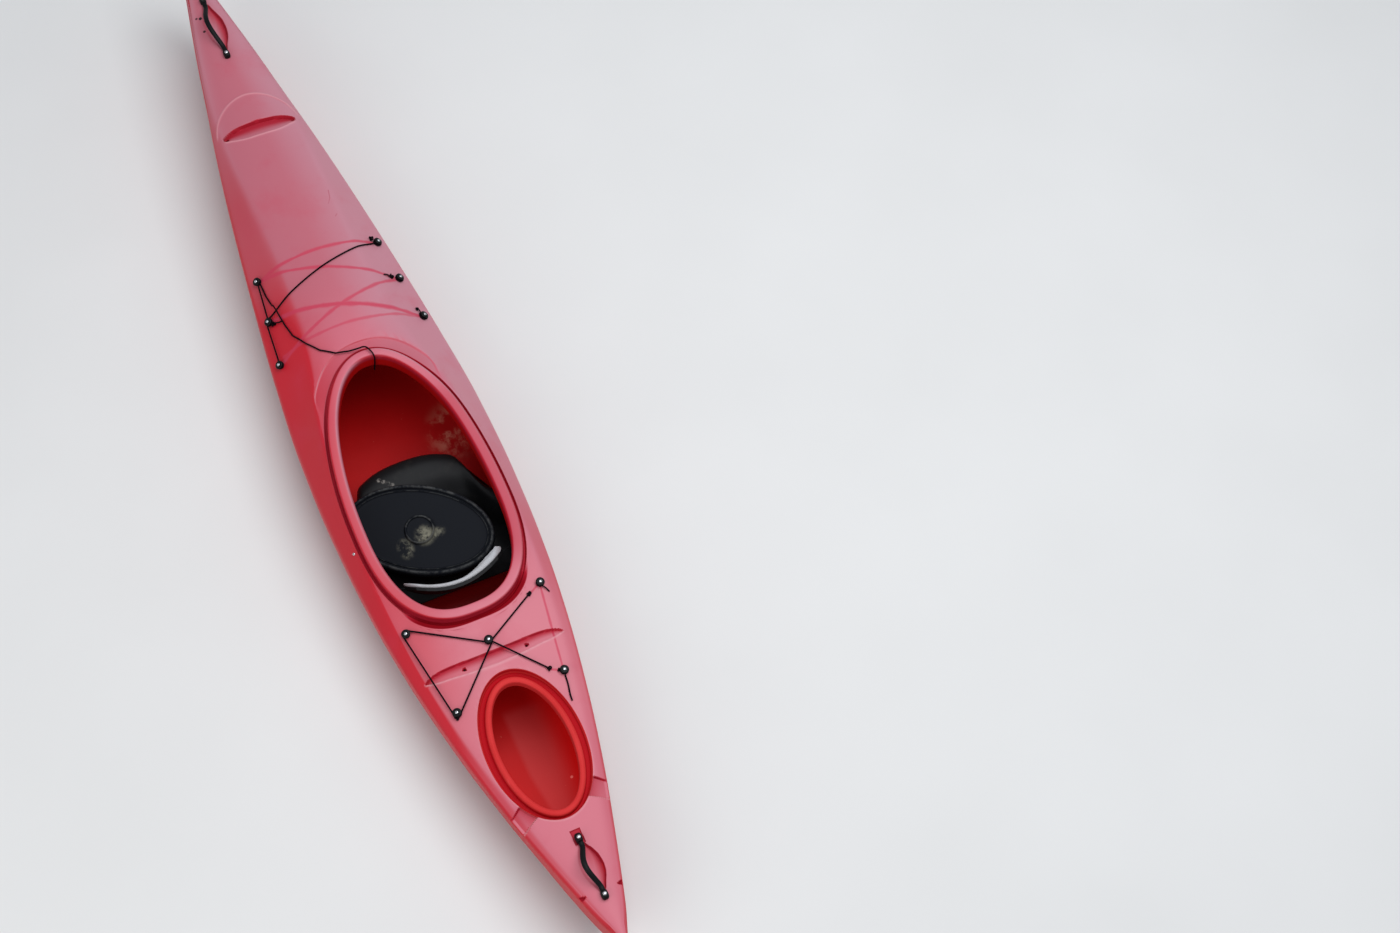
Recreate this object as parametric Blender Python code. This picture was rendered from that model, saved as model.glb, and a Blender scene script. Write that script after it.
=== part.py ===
"""Sit-in touring kayak in moulded plastic: +X to the bow, +Y to port, +Z up, on the ground plane z = 0."""

import math

import bmesh
import bpy
import numpy as np
from mathutils import Matrix, Vector

# Hull and deck, in metres
overallLength = 3.85
maxBeam = 0.618
sheerHeight = 0.206
wall = 0.005
seamGap = 0.0004
fitGap = 0.0006
keelStripHalf = 0.03
sectionSteps = 9
facetSteps = 4
crownSteps = 6
sternSolid = 0.105
bowSolid = 0.185
bowJoint = 0.70
ridgeSoftness = 0.005

# Each section of the boat. along: share of half the length; beam: share of half the beam;
# rise: sheer above sheerHeight; keel: height of the keel; full: roundness of the hull;
# ridge: place of the deck ridge as a share of the half beam here; ridgeUp and crownUp: above the sheer.
sectionColumns = ("along", "beam", "rise", "keel", "full", "ridge", "ridgeUp", "crownUp")
sectionRows = (
    (-1.000, 0.039, 0.046, 0.205, 2.0, 0.60, 0.009, 0.012),
    (-0.987, 0.071, 0.044, 0.150, 2.0, 0.64, 0.011, 0.014),
    (-0.956, 0.146, 0.039, 0.085, 2.0, 0.68, 0.012, 0.017),
    (-0.904, 0.246, 0.032, 0.042, 2.1, 0.72, 0.014, 0.022),
    (-0.842, 0.359, 0.024, 0.022, 2.2, 0.77, 0.017, 0.026),
    (-0.743, 0.528, 0.014, 0.010, 2.4, 0.82, 0.020, 0.032),
    (-0.613, 0.712, 0.005, 0.003, 2.6, 0.85, 0.023, 0.039),
    (-0.468, 0.867, 0.000, 0.000, 2.8, 0.865, 0.028, 0.050),
    (-0.364, 0.942, 0.000, 0.000, 2.8, 0.86, 0.042, 0.072),
    (-0.260, 0.984, 0.002, 0.000, 2.8, 0.84, 0.064, 0.095),
    (-0.156, 1.000, 0.005, 0.000, 2.8, 0.79, 0.086, 0.118),
    (-0.052, 0.987, 0.009, 0.000, 2.8, 0.73, 0.104, 0.135),
    (0.104, 0.913, 0.016, 0.000, 2.7, 0.59, 0.096, 0.136),
    (0.260, 0.806, 0.030, 0.000, 2.6, 0.555, 0.089, 0.116),
    (0.442, 0.660, 0.048, 0.001, 2.4, 0.67, 0.064, 0.090),
    (0.551, 0.557, 0.062, 0.005, 2.3, 0.79, 0.038, 0.067),
    (0.660, 0.437, 0.077, 0.015, 2.2, 0.90, 0.017, 0.047),
    (0.753, 0.337, 0.090, 0.034, 2.1, 0.90, 0.014, 0.038),
    (0.842, 0.230, 0.102, 0.068, 2.0, 0.88, 0.012, 0.030),
    (0.914, 0.139, 0.113, 0.116, 2.0, 0.85, 0.010, 0.024),
    (0.966, 0.078, 0.123, 0.190, 2.0, 0.80, 0.008, 0.018),
    (0.990, 0.049, 0.128, 0.255, 2.0, 0.70, 0.007, 0.014),
    (1.000, 0.029, 0.130, 0.312, 2.0, 0.60, 0.006, 0.010),
)
hullStations = 46
deckStations = 60
stationGap = 0.012
jointReach = 0.02

# Cockpit opening: an egg, blunt at the rear. The coaming stands round it.
cockpitCentre = -0.45
cockpitForward = 0.535
cockpitAft = 0.345
cockpitHalfWidth = 0.213
cockpitForwardPower = 2.1
cockpitAftPower = 2.5
coamingWidth = 0.047
lipHeight = 0.022
coamingSkirt = 0.035
coamingSegments = 56

# Rear hatch: an oval opening with a raised rim in a sunk ring
hatchCentre = -1.28
hatchLength = 0.43
hatchWidth = 0.216
hatchRimWidth = 0.011
hatchRecessHalfLength = 0.250
hatchRecessHalfWidth = 0.153
hatchRecessDepth = 0.020
hatchSegments = 44

# Hatch cover, lying on the seat
coverHalfLength = 0.238
coverHalfWidth = 0.147
coverHeight = 0.028
coverSkin = 0.006
coverBossRadius = 0.045
coverPlace = (-0.4605, 0.0435, 0.1830)
coverTurn = math.radians(-31.0)
coverLean = math.radians(-11.0)
coverSegments = 36

# Seat pan with a raised front edge, hung by a plate each side that goes up behind the coaming's skirt
# Columns: share of the half width, how far the front edge lies aft of seatFront there
seatFrontColumns = ("share", "aft")
seatFrontRows = (
    (0.0, 0.0), (0.2, 0.004), (0.4, 0.020), (0.52, 0.042),
    (0.645, 0.072), (0.746, 0.135), (0.806, 0.172), (1.0, 0.205),
)
# Columns: share of the way from front to rear, height of the pan
seatFloorColumns = ("share", "height")
seatFloorRows = (
    (0.0, 0.112), (0.05, 0.145), (0.11, 0.155), (0.20, 0.148), (0.34, 0.112), (0.50, 0.060),
    (0.72, 0.048), (0.90, 0.062), (1.0, 0.084),
)
seatFront = -0.172
seatRear = -0.655
seatSideRoom = 0.056  # between the seat's side and the hull's inner face at the widest section
seatHalfWidth = maxBeam / 2 - wall - seatSideRoom
seatSideStart = 0.72
seatSideRise = 0.035
seatFrontDip = 0.030
seatThickness = 0.005
hangerFront = -0.545
hangerRear = -0.625
hangerFoot = -0.530
hangerHeel = -0.640
hangerLow = 0.088
hangerBend = 0.58
hangerThickness = 0.004
hangerTop = 0.006
hangerClear = 0.0070
hangerBoltDrop = 0.21
boltRadius = 0.006
boltHeight = 0.003

# Backrest: a curved band on two straps, which turn on the hangers; it leans aft
backPivot = (-0.584, 0.168)
backSetback = 0.020
strapThickness = 0.003
strapWidth = 0.022
strapGap = 0.0008
backHalfWidth = 0.162
backSag = 0.055
backHeight = 0.105
backThickness = 0.010
padThickness = 0.014
backLean = math.radians(20.0)
backRoundStart = 0.72
backRoundShare = 0.5

# Deck fittings. Rows: name, x, y.
eyeColumns = ("name", "x", "y")
eyeRows = (
    ("eye_port_1", 0.548, 0.205),
    ("eye_port_2", 0.392, 0.222),
    ("eye_port_3", 0.230, 0.243),
    ("eye_port_4", -0.803, 0.219),
    ("eye_port_5", -1.098, 0.173),
    ("eye_starboard_1", 0.548, -0.205),
    ("eye_starboard_2", 0.392, -0.222),
    ("eye_starboard_3", 0.230, -0.243),
    ("eye_starboard_4", -0.803, -0.219),
    ("eye_starboard_5", -1.098, -0.173),
    ("eye_centre", -0.923, 0.0),
)
eyeRadius = 0.0140
eyeNeck = 0.0080
eyeHeight = 0.0150
cordRadius = 0.0026
cordClear = 0.0018
cordPassing = 0.0155
aftCordEnds = ((-0.828, -0.174), (-1.077, -0.134))
aftCordRise = 0.006
# Slack foredeck cord: first along the deck, then over the coaming. Columns: x and y, then x, y and z
slackStep = 5.2
slackSpread = 8.0
slackColumns = ("x", "y")
slackRows = (
    (0.533, 0.2035), (0.480, 0.203), (0.425, 0.196), (0.402, 0.1925), (0.386, 0.190), (0.340, 0.186),
    (0.290, 0.178), (0.235, 0.152), (0.186, 0.121), (0.150, 0.080), (0.137, 0.040),
)
slackEndColumns = ("x", "y", "z")
slackEndRows = (
    (0.1310, 0.0150, 0.3650), (0.1235, -0.0040, 0.3770), (0.1150, -0.0120, 0.3828),
    (0.1000, -0.0190, 0.3836), (0.0880, -0.0225, 0.3826), (0.0795, -0.0240, 0.3768),
    (0.0760, -0.0245, 0.3660), (0.0752, -0.0235, 0.3480),
    (0.0752, -0.0215, 0.3220), (0.0760, -0.0195, 0.2980),
)
tailColumns = ("x", "y")
tailRows = (
    (-1.114, -0.1705), (-1.128, -0.1690), (-1.146, -0.1665),
    (-1.163, -0.1625), (-1.180, -0.1590), (-1.196, -0.1575),
)

# Carry handles. Rows: name, front x, rear x.
handleColumns = ("name", "front", "rear")
handleRows = (("bow_handle", 1.680, 1.430), ("stern_handle", -1.602, -1.786))
gripRadius = 0.0085
gripRise = 0.030
gripSwing = 0.021  # the limp strap hangs this far over to port
bracketLength = 0.030
bracketWidth = 0.022
bracketHeight = 0.019
bracketGap = 0.0008

# Rear bulkhead and foot braces
bulkheadPlace = -0.900
bulkheadThickness = 0.010
railFront = 0.640
railRear = 0.240
railHeight = 0.034
railDepth = 0.010
railLevel = 0.120
pedalWidth = 0.085
pedalHeight = 0.085
pedalLift = 0.028
pedalThickness = 0.014
pedalGap = 0.0006

colours = {
    "deck": (0.62, 0.12, 0.17),
    "hull": (0.60, 0.05, 0.07),
    "rim": (0.70, 0.05, 0.04),
    "black": (0.015, 0.015, 0.016),
    "grey": (0.55, 0.57, 0.58),
    "steel": (0.60, 0.60, 0.60),
    "foam": (0.08, 0.08, 0.085),
}


def clearScene():
    for item in list(bpy.data.objects):
        bpy.data.objects.remove(item, do_unlink=True)


def material(name, colour, roughness=0.5, metallic=0.0):
    made = bpy.data.materials.new(name)
    made.use_nodes = True
    shader = made.node_tree.nodes["Principled BSDF"]
    shader.inputs["Base Color"].default_value = (*colour, 1.0)
    shader.inputs["Roughness"].default_value = roughness
    shader.inputs["Metallic"].default_value = metallic
    return made


def slopes(xs, ys):
    """Monotone cubic slopes, so that a curve never overshoots its rows."""
    steps = np.diff(xs)
    rates = np.diff(ys) / steps
    found = np.zeros(len(xs))
    found[0], found[-1] = rates[0], rates[-1]
    for i in range(1, len(xs) - 1):
        if rates[i - 1] * rates[i] > 0:
            a = 2 * steps[i] + steps[i - 1]
            b = steps[i] + 2 * steps[i - 1]
            found[i] = (a + b) / (a / rates[i - 1] + b / rates[i])
    return found


sectionTable = np.array(sectionRows)
sectionAlong = sectionTable[:, 0]
sectionSlopes = {
    name: slopes(sectionAlong, sectionTable[:, i]) for i, name in enumerate(sectionColumns)
}


def read(name, x):
    """The value of a section column at x, by monotone cubic between rows."""
    t = min(max(x / (overallLength / 2), -1.0), 1.0)
    ys = sectionTable[:, sectionColumns.index(name)]
    i = min(max(int(np.searchsorted(sectionAlong, t)) - 1, 0), len(ys) - 2)
    h = sectionAlong[i + 1] - sectionAlong[i]
    u = (t - sectionAlong[i]) / h
    m = sectionSlopes[name]
    return float(
        (1 + 2 * u) * (1 - u) ** 2 * ys[i]
        + u * (1 - u) ** 2 * h * m[i]
        + u * u * (3 - 2 * u) * ys[i + 1]
        + u * u * (u - 1) * h * m[i + 1]
    )


def halfBeam(x):
    return maxBeam / 2 * read("beam", x)


def sheer(x):
    return sheerHeight + read("rise", x)


def deckHeight(x, y):
    """Height of the deck's outer face: a crowned middle, two ridges, and a flat facet outside each."""
    y = abs(y)
    b = halfBeam(x)
    s = sheer(x)
    ridgeY = b * read("ridge", x)
    ridgeZ = read("ridgeUp", x)
    crownZ = read("crownUp", x)
    facet = ridgeZ * (b - y) / (b - ridgeY)
    middle = crownZ - (crownZ - ridgeZ) * (y / ridgeY) ** 1.8
    low = min(facet, middle)
    soft = low - ridgeSoftness * math.log1p(math.exp(-abs(facet - middle) / ridgeSoftness))
    edge = min(1.0, (b - y) / (4 * ridgeSoftness))
    return s + low + (soft - low) * max(edge, 0.0)


def deckNormal(x, y):
    e = 0.004
    dx = (deckHeight(x + e, y) - deckHeight(x - e, y)) / (2 * e)
    dy = (deckHeight(x, y + e) - deckHeight(x, y - e)) / (2 * e)
    return Vector((-dx, -dy, 1.0)).normalized()


def hullHalf(x, inset=0.0):
    """(y, z) from the sheer down to the keel strip's edge, moved in by inset."""
    b = halfBeam(x) - inset
    s = sheer(x)
    k = read("keel", x) + inset
    strip = min(keelStripHalf, 0.35 * b)
    power = 2 / read("full", x)
    points = []
    for i in range(sectionSteps + 1):
        angle = math.pi / 2 * i / sectionSteps
        y = strip + (b - strip) * math.cos(angle) ** power if i < sectionSteps else strip
        z = s - (s - k) * (math.sin(angle) ** power if i else 0.0)
        points.append((y, z))
    return points


def hullHalfWidth(x, z, inset=0.0):
    """Half width of the hull at height z."""
    points = hullHalf(x, inset)
    return float(np.interp(-z, [-p[1] for p in points], [p[0] for p in points]))


def deckHalf(x, inset=0.0):
    """(y, z) from the sheer up to the crown, moved in by inset along the normal."""
    b = halfBeam(x)
    ridgeY = b * read("ridge", x)
    ys = [b + (ridgeY - b) * i / facetSteps for i in range(facetSteps)]
    ys += [ridgeY * (1 - i / crownSteps) for i in range(crownSteps + 1)]
    points = []
    for y in ys:
        z = deckHeight(x, y)
        if inset:
            e = 0.002
            slope = (deckHeight(x, y + e) - deckHeight(x, y - e)) / (2 * e) if y < b - e else -(
                read("ridgeUp", x) / (b - ridgeY)
            )
            if y < e:
                slope = 0.0
            reach = math.hypot(slope, 1.0)
            y, z = max(y + inset * slope / reach, 0.0), z - inset / reach
        points.append((y, z))
    return points


def mirrored(half):
    """A whole section, port to starboard, from the port half that ends on the centre plane or near it."""
    other = [(-y, z) for y, z in reversed(half)]
    return half + (other[1:] if abs(half[-1][0]) < 1e-9 else other)


def stations(first, last, count, crowd):
    """x places from first to last, closer together at the ends."""
    found = []
    for i in range(count):
        t = i / (count - 1)
        even = 2 * t - 1
        eased = math.sin(even * math.pi / 2)
        found.append(first + (last - first) * (1 + even * (1 - crowd) + eased * crowd) / 2)
    return found


def addMesh(name, points, faces, colour, roughness=0.5, metallic=0.0, smooth=True):
    mesh = bpy.data.meshes.new(name)
    mesh.from_pydata([tuple(p) for p in points], [], faces)
    shape = bmesh.new()
    shape.from_mesh(mesh)
    bmesh.ops.recalc_face_normals(shape, faces=shape.faces)
    shape.to_mesh(mesh)
    shape.free()
    mesh.update()
    made = bpy.data.objects.new(name, mesh)
    bpy.context.scene.collection.objects.link(made)
    if colour:
        mesh.materials.append(material(name, colours[colour], roughness, metallic))
    if smooth:
        mesh.shade_smooth()
        mesh.set_sharp_from_angle(angle=math.radians(35))
    return made


def loft(name, rings, colour, closed=False, **looks):
    """Joins rings of points of one length. closed: the last ring meets the first, else ends are capped."""
    count = len(rings[0])
    points = [p for ring in rings for p in ring]
    faces = []
    for i in range(len(rings) if closed else len(rings) - 1):
        a, b = i * count, (i + 1) % len(rings) * count
        for j in range(count):
            k = (j + 1) % count
            faces.append((a + j, a + k, b + k, b + j))
    if not closed:
        faces.append(tuple(reversed(range(count))))
        faces.append(tuple(range((len(rings) - 1) * count, len(rings) * count)))
    return addMesh(name, points, faces, colour, **looks)


def cutWith(target, cutter):
    cutter.hide_render = True
    cutter.hide_set(True)
    cutter.display_type = "WIRE"
    step = target.modifiers.new(cutter.name, "BOOLEAN")
    step.operation = "DIFFERENCE"
    step.solver = "EXACT"
    step.object = cutter


def turned(name, profile, segments, colour, **looks):
    """A turned piece on the Z axis from (radius, z) points, which start and end on the axis."""
    points = [(0.0, 0.0, profile[0][1])]
    for r, z in profile[1:-1]:
        for j in range(segments):
            a = 2 * math.pi * j / segments
            points.append((r * math.cos(a), r * math.sin(a), z))
    points.append((0.0, 0.0, profile[-1][1]))
    faces = []
    rings = len(profile) - 2
    for j in range(segments):
        k = (j + 1) % segments
        faces.append((0, 1 + k, 1 + j))
        for i in range(rings - 1):
            a = 1 + i * segments
            b = a + segments
            faces.append((a + j, a + k, b + k, b + j))
        last = 1 + (rings - 1) * segments
        faces.append((last + j, last + k, len(points) - 1))
    return addMesh(name, points, faces, colour, **looks)


def box(name, size, colour, bevel=0.0, **looks):
    lx, ly, lz = (v / 2 for v in size)
    points = [(x, y, z) for x in (-lx, lx) for y in (-ly, ly) for z in (-lz, lz)]
    faces = [(0, 1, 3, 2), (4, 6, 7, 5), (0, 4, 5, 1), (2, 3, 7, 6), (0, 2, 6, 4), (1, 5, 7, 3)]
    made = addMesh(name, points, faces, colour, smooth=False, **looks)
    if bevel:
        step = made.modifiers.new("edges", "BEVEL")
        step.width = bevel
        step.segments = 2
        step.limit_method = "ANGLE"
    return made


def place(item, where, normal=None, along=None):
    """Puts item at where, its Z along normal and its X near along."""
    if normal is None:
        item.location = where
        return
    z = Vector(normal).normalized()
    x = Vector(along if along is not None else (1, 0, 0))
    x = (x - z * x.dot(z)).normalized()
    y = z.cross(x)
    item.matrix_world = Matrix.Translation(where) @ Matrix((x, y, z)).transposed().to_4x4()


def shellParts():
    """The shells' parts, divided at the rear bulkhead and ahead of the foot braces: name, rear, front."""
    half = overallLength / 2
    sternJoint = bulkheadPlace - bulkheadThickness / 2
    return (
        ("stern", -half, sternJoint - seamGap / 2),
        ("middle", sternJoint + seamGap / 2, bowJoint - seamGap / 2),
        ("bow", bowJoint + seamGap / 2, half),
    )


def between(places, first, last):
    """The places that lie well inside first and last, with these two."""
    return [first] + [x for x in places if first + stationGap < x < last - stationGap] + [last]


def cavityPlaces(first, last, count, crowd):
    """Stations of the hollow in the part from first to last, which runs out past its joints."""
    rear = -overallLength / 2 + sternSolid
    front = overallLength / 2 - bowSolid
    low, high = max(rear, first - jointReach), min(front, last + jointReach)
    return between(stations(rear, front, count, crowd), low, high)


def buildHull():
    half = overallLength / 2
    for part, first, last in shellParts():
        rings = []
        for x in between(stations(-half, half, hullStations, 0.75), first, last):
            rings.append([(x, y, z) for y, z in mirrored(hullHalf(x))])
        hull = loft(f"hull_{part}", rings, "hull", roughness=0.45)
        inner = []
        for x in cavityPlaces(first, last, hullStations - 4, 0.5):
            section = mirrored(hullHalf(x, wall))
            top = section[0][1] + 0.02
            ring = [(x, section[0][0], top)] + [(x, y, z) for y, z in section]
            inner.append(ring + [(x, section[-1][0], top)])
        cutWith(hull, loft(f"hull_{part}_cavity", inner, None))


def cockpitHalf(x, grow=0.0):
    """Half width of the cockpit opening at x."""
    forward = x >= cockpitCentre
    reach = cockpitForward if forward else cockpitAft
    power = cockpitForwardPower if forward else cockpitAftPower
    share = abs(x - cockpitCentre) / reach
    if share >= 1.0:
        return 0.0
    return cockpitHalfWidth * (1 - share**power) ** (1 / power) + grow


def cockpitLine(offset):
    """Plan points of the cockpit opening moved out by offset, anticlockwise from the bow end."""
    def point(angle):
        c, s = math.cos(angle), math.sin(angle)
        forward = c >= 0
        power = cockpitForwardPower if forward else cockpitAftPower
        reach = cockpitForward if forward else cockpitAft
        x = cockpitCentre + reach * math.copysign(abs(c) ** (2 / power), c)
        return x, cockpitHalfWidth * math.copysign(abs(s) ** (2 / power), s)

    found = []
    for i in range(coamingSegments):
        angle = 2 * math.pi * (i + 0.5) / coamingSegments
        x, y = point(angle)
        before, after = point(angle - 0.01), point(angle + 0.01)
        tx, ty = after[0] - before[0], after[1] - before[1]
        size = math.hypot(tx, ty)
        found.append((x + offset * ty / size, y - offset * tx / size))
    return found


def oval(halfLength, halfWidth, centre, segments):
    return [
        (
            centre + halfLength * math.cos(2 * math.pi * (i + 0.5) / segments),
            halfWidth * math.sin(2 * math.pi * (i + 0.5) / segments),
        )
        for i in range(segments)
    ]


def prism(name, outline, low, high):
    return loft(name, [[(x, y, z) for x, y in outline] for z in (low, high)], None)


def buildDeck():
    half = overallLength / 2
    cockpit = cockpitLine(coamingWidth + seamGap)
    hatch = oval(hatchRecessHalfLength + seamGap, hatchRecessHalfWidth + seamGap, hatchCentre, hatchSegments)
    for part, first, last in shellParts():
        rings = []
        for x in between(stations(-half, half, deckStations, 0.5), first, last):
            section = mirrored(deckHalf(x))
            s = sheer(x) + seamGap
            ring = [(x, y, max(z, s)) for y, z in section]
            ring[0] = (x, section[0][0], s)
            ring[-1] = (x, section[-1][0], s)
            rings.append(ring[::-1])
        deck = loft(f"deck_{part}", rings, "deck", roughness=0.45)
        inner = []
        for x in cavityPlaces(first, last, deckStations - 6, 0.4):
            section = mirrored(deckHalf(x, wall))
            low = sheer(x) - 0.03
            ring = [(x, section[0][0], low)] + [(x, y, z) for y, z in section]
            inner.append((ring + [(x, section[-1][0], low)])[::-1])
        cutWith(deck, loft(f"deck_{part}_cavity", inner, None))
        for name, outline in (("cockpit", cockpit), ("hatch", hatch)):
            if any(first < x < last for x, _ in outline):
                cutWith(deck, prism(f"deck_{part}_{name}_cut", outline, 0.0, 2 * sheerHeight))


def buildCoaming():
    """A moulded ring: flat flange at the deck, groove, rounded lip, and a skirt down inside."""
    # Columns: distance out from the opening, height above the deck at the ring's outer edge.
    profile = (
        (coamingWidth, 0.0),
        (coamingWidth - 0.003, -0.001),
        (coamingWidth - 0.007, -0.011),
        (coamingWidth - 0.014, -0.011),
        (coamingWidth - 0.017, 0.004),
        (coamingWidth - 0.020, lipHeight - 0.006),
        (coamingWidth - 0.026, lipHeight),
        (0.006, lipHeight - 0.001),
        (0.001, lipHeight - 0.007),
        (0.0, -0.010),
        (0.0, -coamingSkirt),
        (0.005, -coamingSkirt),
        (0.006, 0.0),
        (0.011, lipHeight - 0.008),
        (coamingWidth - 0.025, lipHeight - 0.010),
        (coamingWidth - 0.021, -0.013),
        (coamingWidth - 0.015, -0.017),
        (coamingWidth - 0.005, -0.017),
        (coamingWidth, -0.006),
    )
    lines = [cockpitLine(offset) for offset, _ in profile]
    edge = cockpitLine(coamingWidth)
    rings = []
    for i in range(coamingSegments):
        base = deckHeight(*edge[i])
        rings.append([(line[i][0], line[i][1], base + up) for line, (_, up) in zip(lines, profile)])
    return loft("cockpit_coaming", rings, "rim", closed=True, roughness=0.4)


def hatchPlane(x):
    """Height of the hatch rim's flat top."""
    return deckHeight(hatchCentre, 0.0) - 0.004


def buildHatchRim():
    openLength, openWidth = hatchLength / 2, hatchWidth / 2
    rimLength, rimWidth = openLength + hatchRimWidth, openWidth + hatchRimWidth
    floor = hatchPlane(0) - hatchRecessDepth
    top = hatchPlane(0)
    edge = oval(hatchRecessHalfLength, hatchRecessHalfWidth, hatchCentre, hatchSegments)
    outerHeights = [deckHeight(x, y) for x, y in edge]
    # Columns: half length, half width, height; None takes the deck's height, less the number beside it.
    profile = (
        (hatchRecessHalfLength, hatchRecessHalfWidth, None, 0.0),
        (hatchRecessHalfLength - 0.004, hatchRecessHalfWidth - 0.004, floor + 0.003, 0),
        (hatchRecessHalfLength - 0.007, hatchRecessHalfWidth - 0.007, floor, 0),
        (rimLength + 0.003, rimWidth + 0.003, floor, 0),
        (rimLength, rimWidth, floor + 0.004, 0),
        (rimLength, rimWidth, top - 0.003, 0),
        (rimLength - 0.003, rimWidth - 0.003, top, 0),
        (openLength + 0.003, openWidth + 0.003, top, 0),
        (openLength, openWidth, top - 0.003, 0),
        (openLength, openWidth, floor - 0.004, 0),
        (openLength + 0.004, openWidth + 0.004, floor - 0.006, 0),
        (hatchRecessHalfLength - 0.004, hatchRecessHalfWidth - 0.004, floor - 0.006, 0),
        (hatchRecessHalfLength, hatchRecessHalfWidth, floor - 0.002, 0),
    )
    lines = [oval(a, b, hatchCentre, hatchSegments) for a, b, _, _ in profile]
    rings = []
    for i in range(hatchSegments):
        ring = []
        for line, (_, _, z, drop) in zip(lines, profile):
            ring.append((line[i][0], line[i][1], outerHeights[i] - drop if z is None else z))
        rings.append(ring)
    return loft("hatch_rim", rings, "rim", closed=True, roughness=0.35)


def bulkheadLine(x):
    inset = wall + fitGap
    low = [p for p in hullHalf(x, inset) if p[1] < sheer(x) - 0.004]
    high = [p for p in deckHalf(x, inset) if p[1] > sheer(x) + 0.004]
    side = halfBeam(x) - inset - 0.006
    half = list(reversed(high)) + [(side, sheer(x) + 0.002), (side + 0.004, sheer(x) - 0.003)] + low
    half = [p for p in half if p[0] > 1e-6]
    crown = deckHalf(x, inset)[-1][1]
    return [(0.0, crown)] + half + [(-y, z) for y, z in reversed(half)]


def buildBulkhead():
    rings = []
    for x in (bulkheadPlace - bulkheadThickness, bulkheadPlace):
        rings.append([(x, y, z) for y, z in bulkheadLine(x)][::-1])
    return loft("rear_bulkhead", rings, "foam", roughness=0.8)


def seatFloor(v):
    """Height of the pan along its length, v from 0 at the front edge to 1 at the rear."""
    return float(np.interp(v, [r[0] for r in seatFloorRows], [r[1] for r in seatFloorRows]))


def seatPoint(v, u, lift=0.0):
    """A point of the pan's upper face, u from -1 at starboard to 1 at port."""
    y = seatHalfWidth * u
    shares, backs = [r[0] for r in seatFrontRows], [r[1] for r in seatFrontRows]
    front = seatFront - float(np.interp(abs(u), shares, backs))
    x = front + (seatRear - front) * v
    side = max(0.0, (abs(u) - seatSideStart) / (1 - seatSideStart))
    rise = seatSideRise * side**1.6 * min(1.0, v / 0.4)
    dip = seatFrontDip * u * u * max(0.0, 1 - v / 0.4)
    return (x, y, seatFloor(v) - dip + rise + lift)


def buildSeat():
    half = (0.2, 0.4, 0.52, 0.645, 0.746, 0.806, 0.90, 1.0)
    us = tuple(-u for u in reversed(half)) + (0.0,) + half
    rings = []
    for v, _ in seatFloorRows:
        upper = [seatPoint(v, u) for u in us]
        lower = [seatPoint(v, u, -seatThickness) for u in us]
        rings.append(upper + lower[::-1])
    return loft("seat", rings, "black", roughness=0.35)


def hangerFace(t, q, side):
    """A point of a hanger's outboard face: t from front to rear, q from foot to top."""
    xTop = hangerFront + (hangerRear - hangerFront) * t
    xLow = hangerFoot + (hangerHeel - hangerFoot) * t
    top = deckHeight(xTop, cockpitHalf(xTop) + coamingWidth) - hangerTop
    yTop = cockpitHalf(xTop) + hangerClear + hangerThickness
    yLow = seatHalfWidth + hangerThickness + fitGap
    inward = max(0.0, (q - hangerBend) / (1 - hangerBend))
    y = yLow + (yTop - yLow) * inward
    return Vector((xLow + (xTop - xLow) * q, side * y, hangerLow + (top - hangerLow) * q))


def buildHangers():
    """Plates from the seat's sides up behind the coaming's skirt, each with a bolt head."""
    for label, side in (("port", 1), ("starboard", -1)):
        inward = Vector((0, -side * hangerThickness, 0))
        rings = []
        for i in range(6):
            outer = [hangerFace(i / 5, q, side) for q in (0.0, hangerBend, (1 + hangerBend) / 2, 1.0)]
            rings.append(outer + [p + inward for p in reversed(outer)])
        loft(f"seat_hanger_{label}", rings, "black", roughness=0.35)
        q = 1.0 - hangerBoltDrop
        point = hangerFace(0.5, q, side)
        way = hangerFace(0.6, q, side) - hangerFace(0.4, q, side)
        up = hangerFace(0.5, q + 0.1, side) - hangerFace(0.5, q - 0.1, side)
        normal = way.cross(up).normalized()
        if normal.y * side > 0:
            normal = -normal
        r, h = boltRadius, boltHeight
        head = ((0, 0), (r, 0), (r, h / 2), (r * 0.65, h), (0, h))
        bolt = turned(f"seat_bolt_{label}", head, 12, "steel", roughness=0.3, metallic=1.0)
        place(bolt, point + inward + normal * (fitGap + 0.0004), normal, up)


def bandPoint(s, up, back):
    """A point of the backrest standing upright. s: -1 starboard to 1 port; up: share of its height."""
    y = backHalfWidth * s
    x = -backSetback - backSag * (1 - s * s) - back
    rounding = backRoundShare * backHeight * max(0.0, (abs(s) - backRoundStart) / (1 - backRoundStart)) ** 2
    z = rounding * 0.9 + up * (backHeight - rounding * 1.8)
    return Vector((x, y, z))


def buildBand(name, front, rear, colour, roughness):
    turn = Matrix.Rotation(-backLean, 3, "Y")
    count = 13
    rings = []
    for i in range(count):
        s = -1 + 2 * i / (count - 1)
        ring = [
            bandPoint(s, 0, rear), bandPoint(s, 1, rear),
            bandPoint(s, 1, front), bandPoint(s, 0.5, front), bandPoint(s, 0, front),
        ]
        rings.append([turn @ p for p in ring])
    return loft(name, rings, colour, roughness=roughness)


def hangerInnerAt(x, z):
    """Half distance between the hangers' inboard faces at x and z."""
    t = 0.5
    for _ in range(3):
        q = (z - hangerLow) / (hangerFace(t, 1.0, 1).z - hangerLow)
        front = hangerFoot + (hangerFront - hangerFoot) * q
        t = (front - x) / (front - hangerHeel - (hangerRear - hangerHeel) * q)
    return hangerFace(t, q, 1).y - hangerThickness


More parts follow.
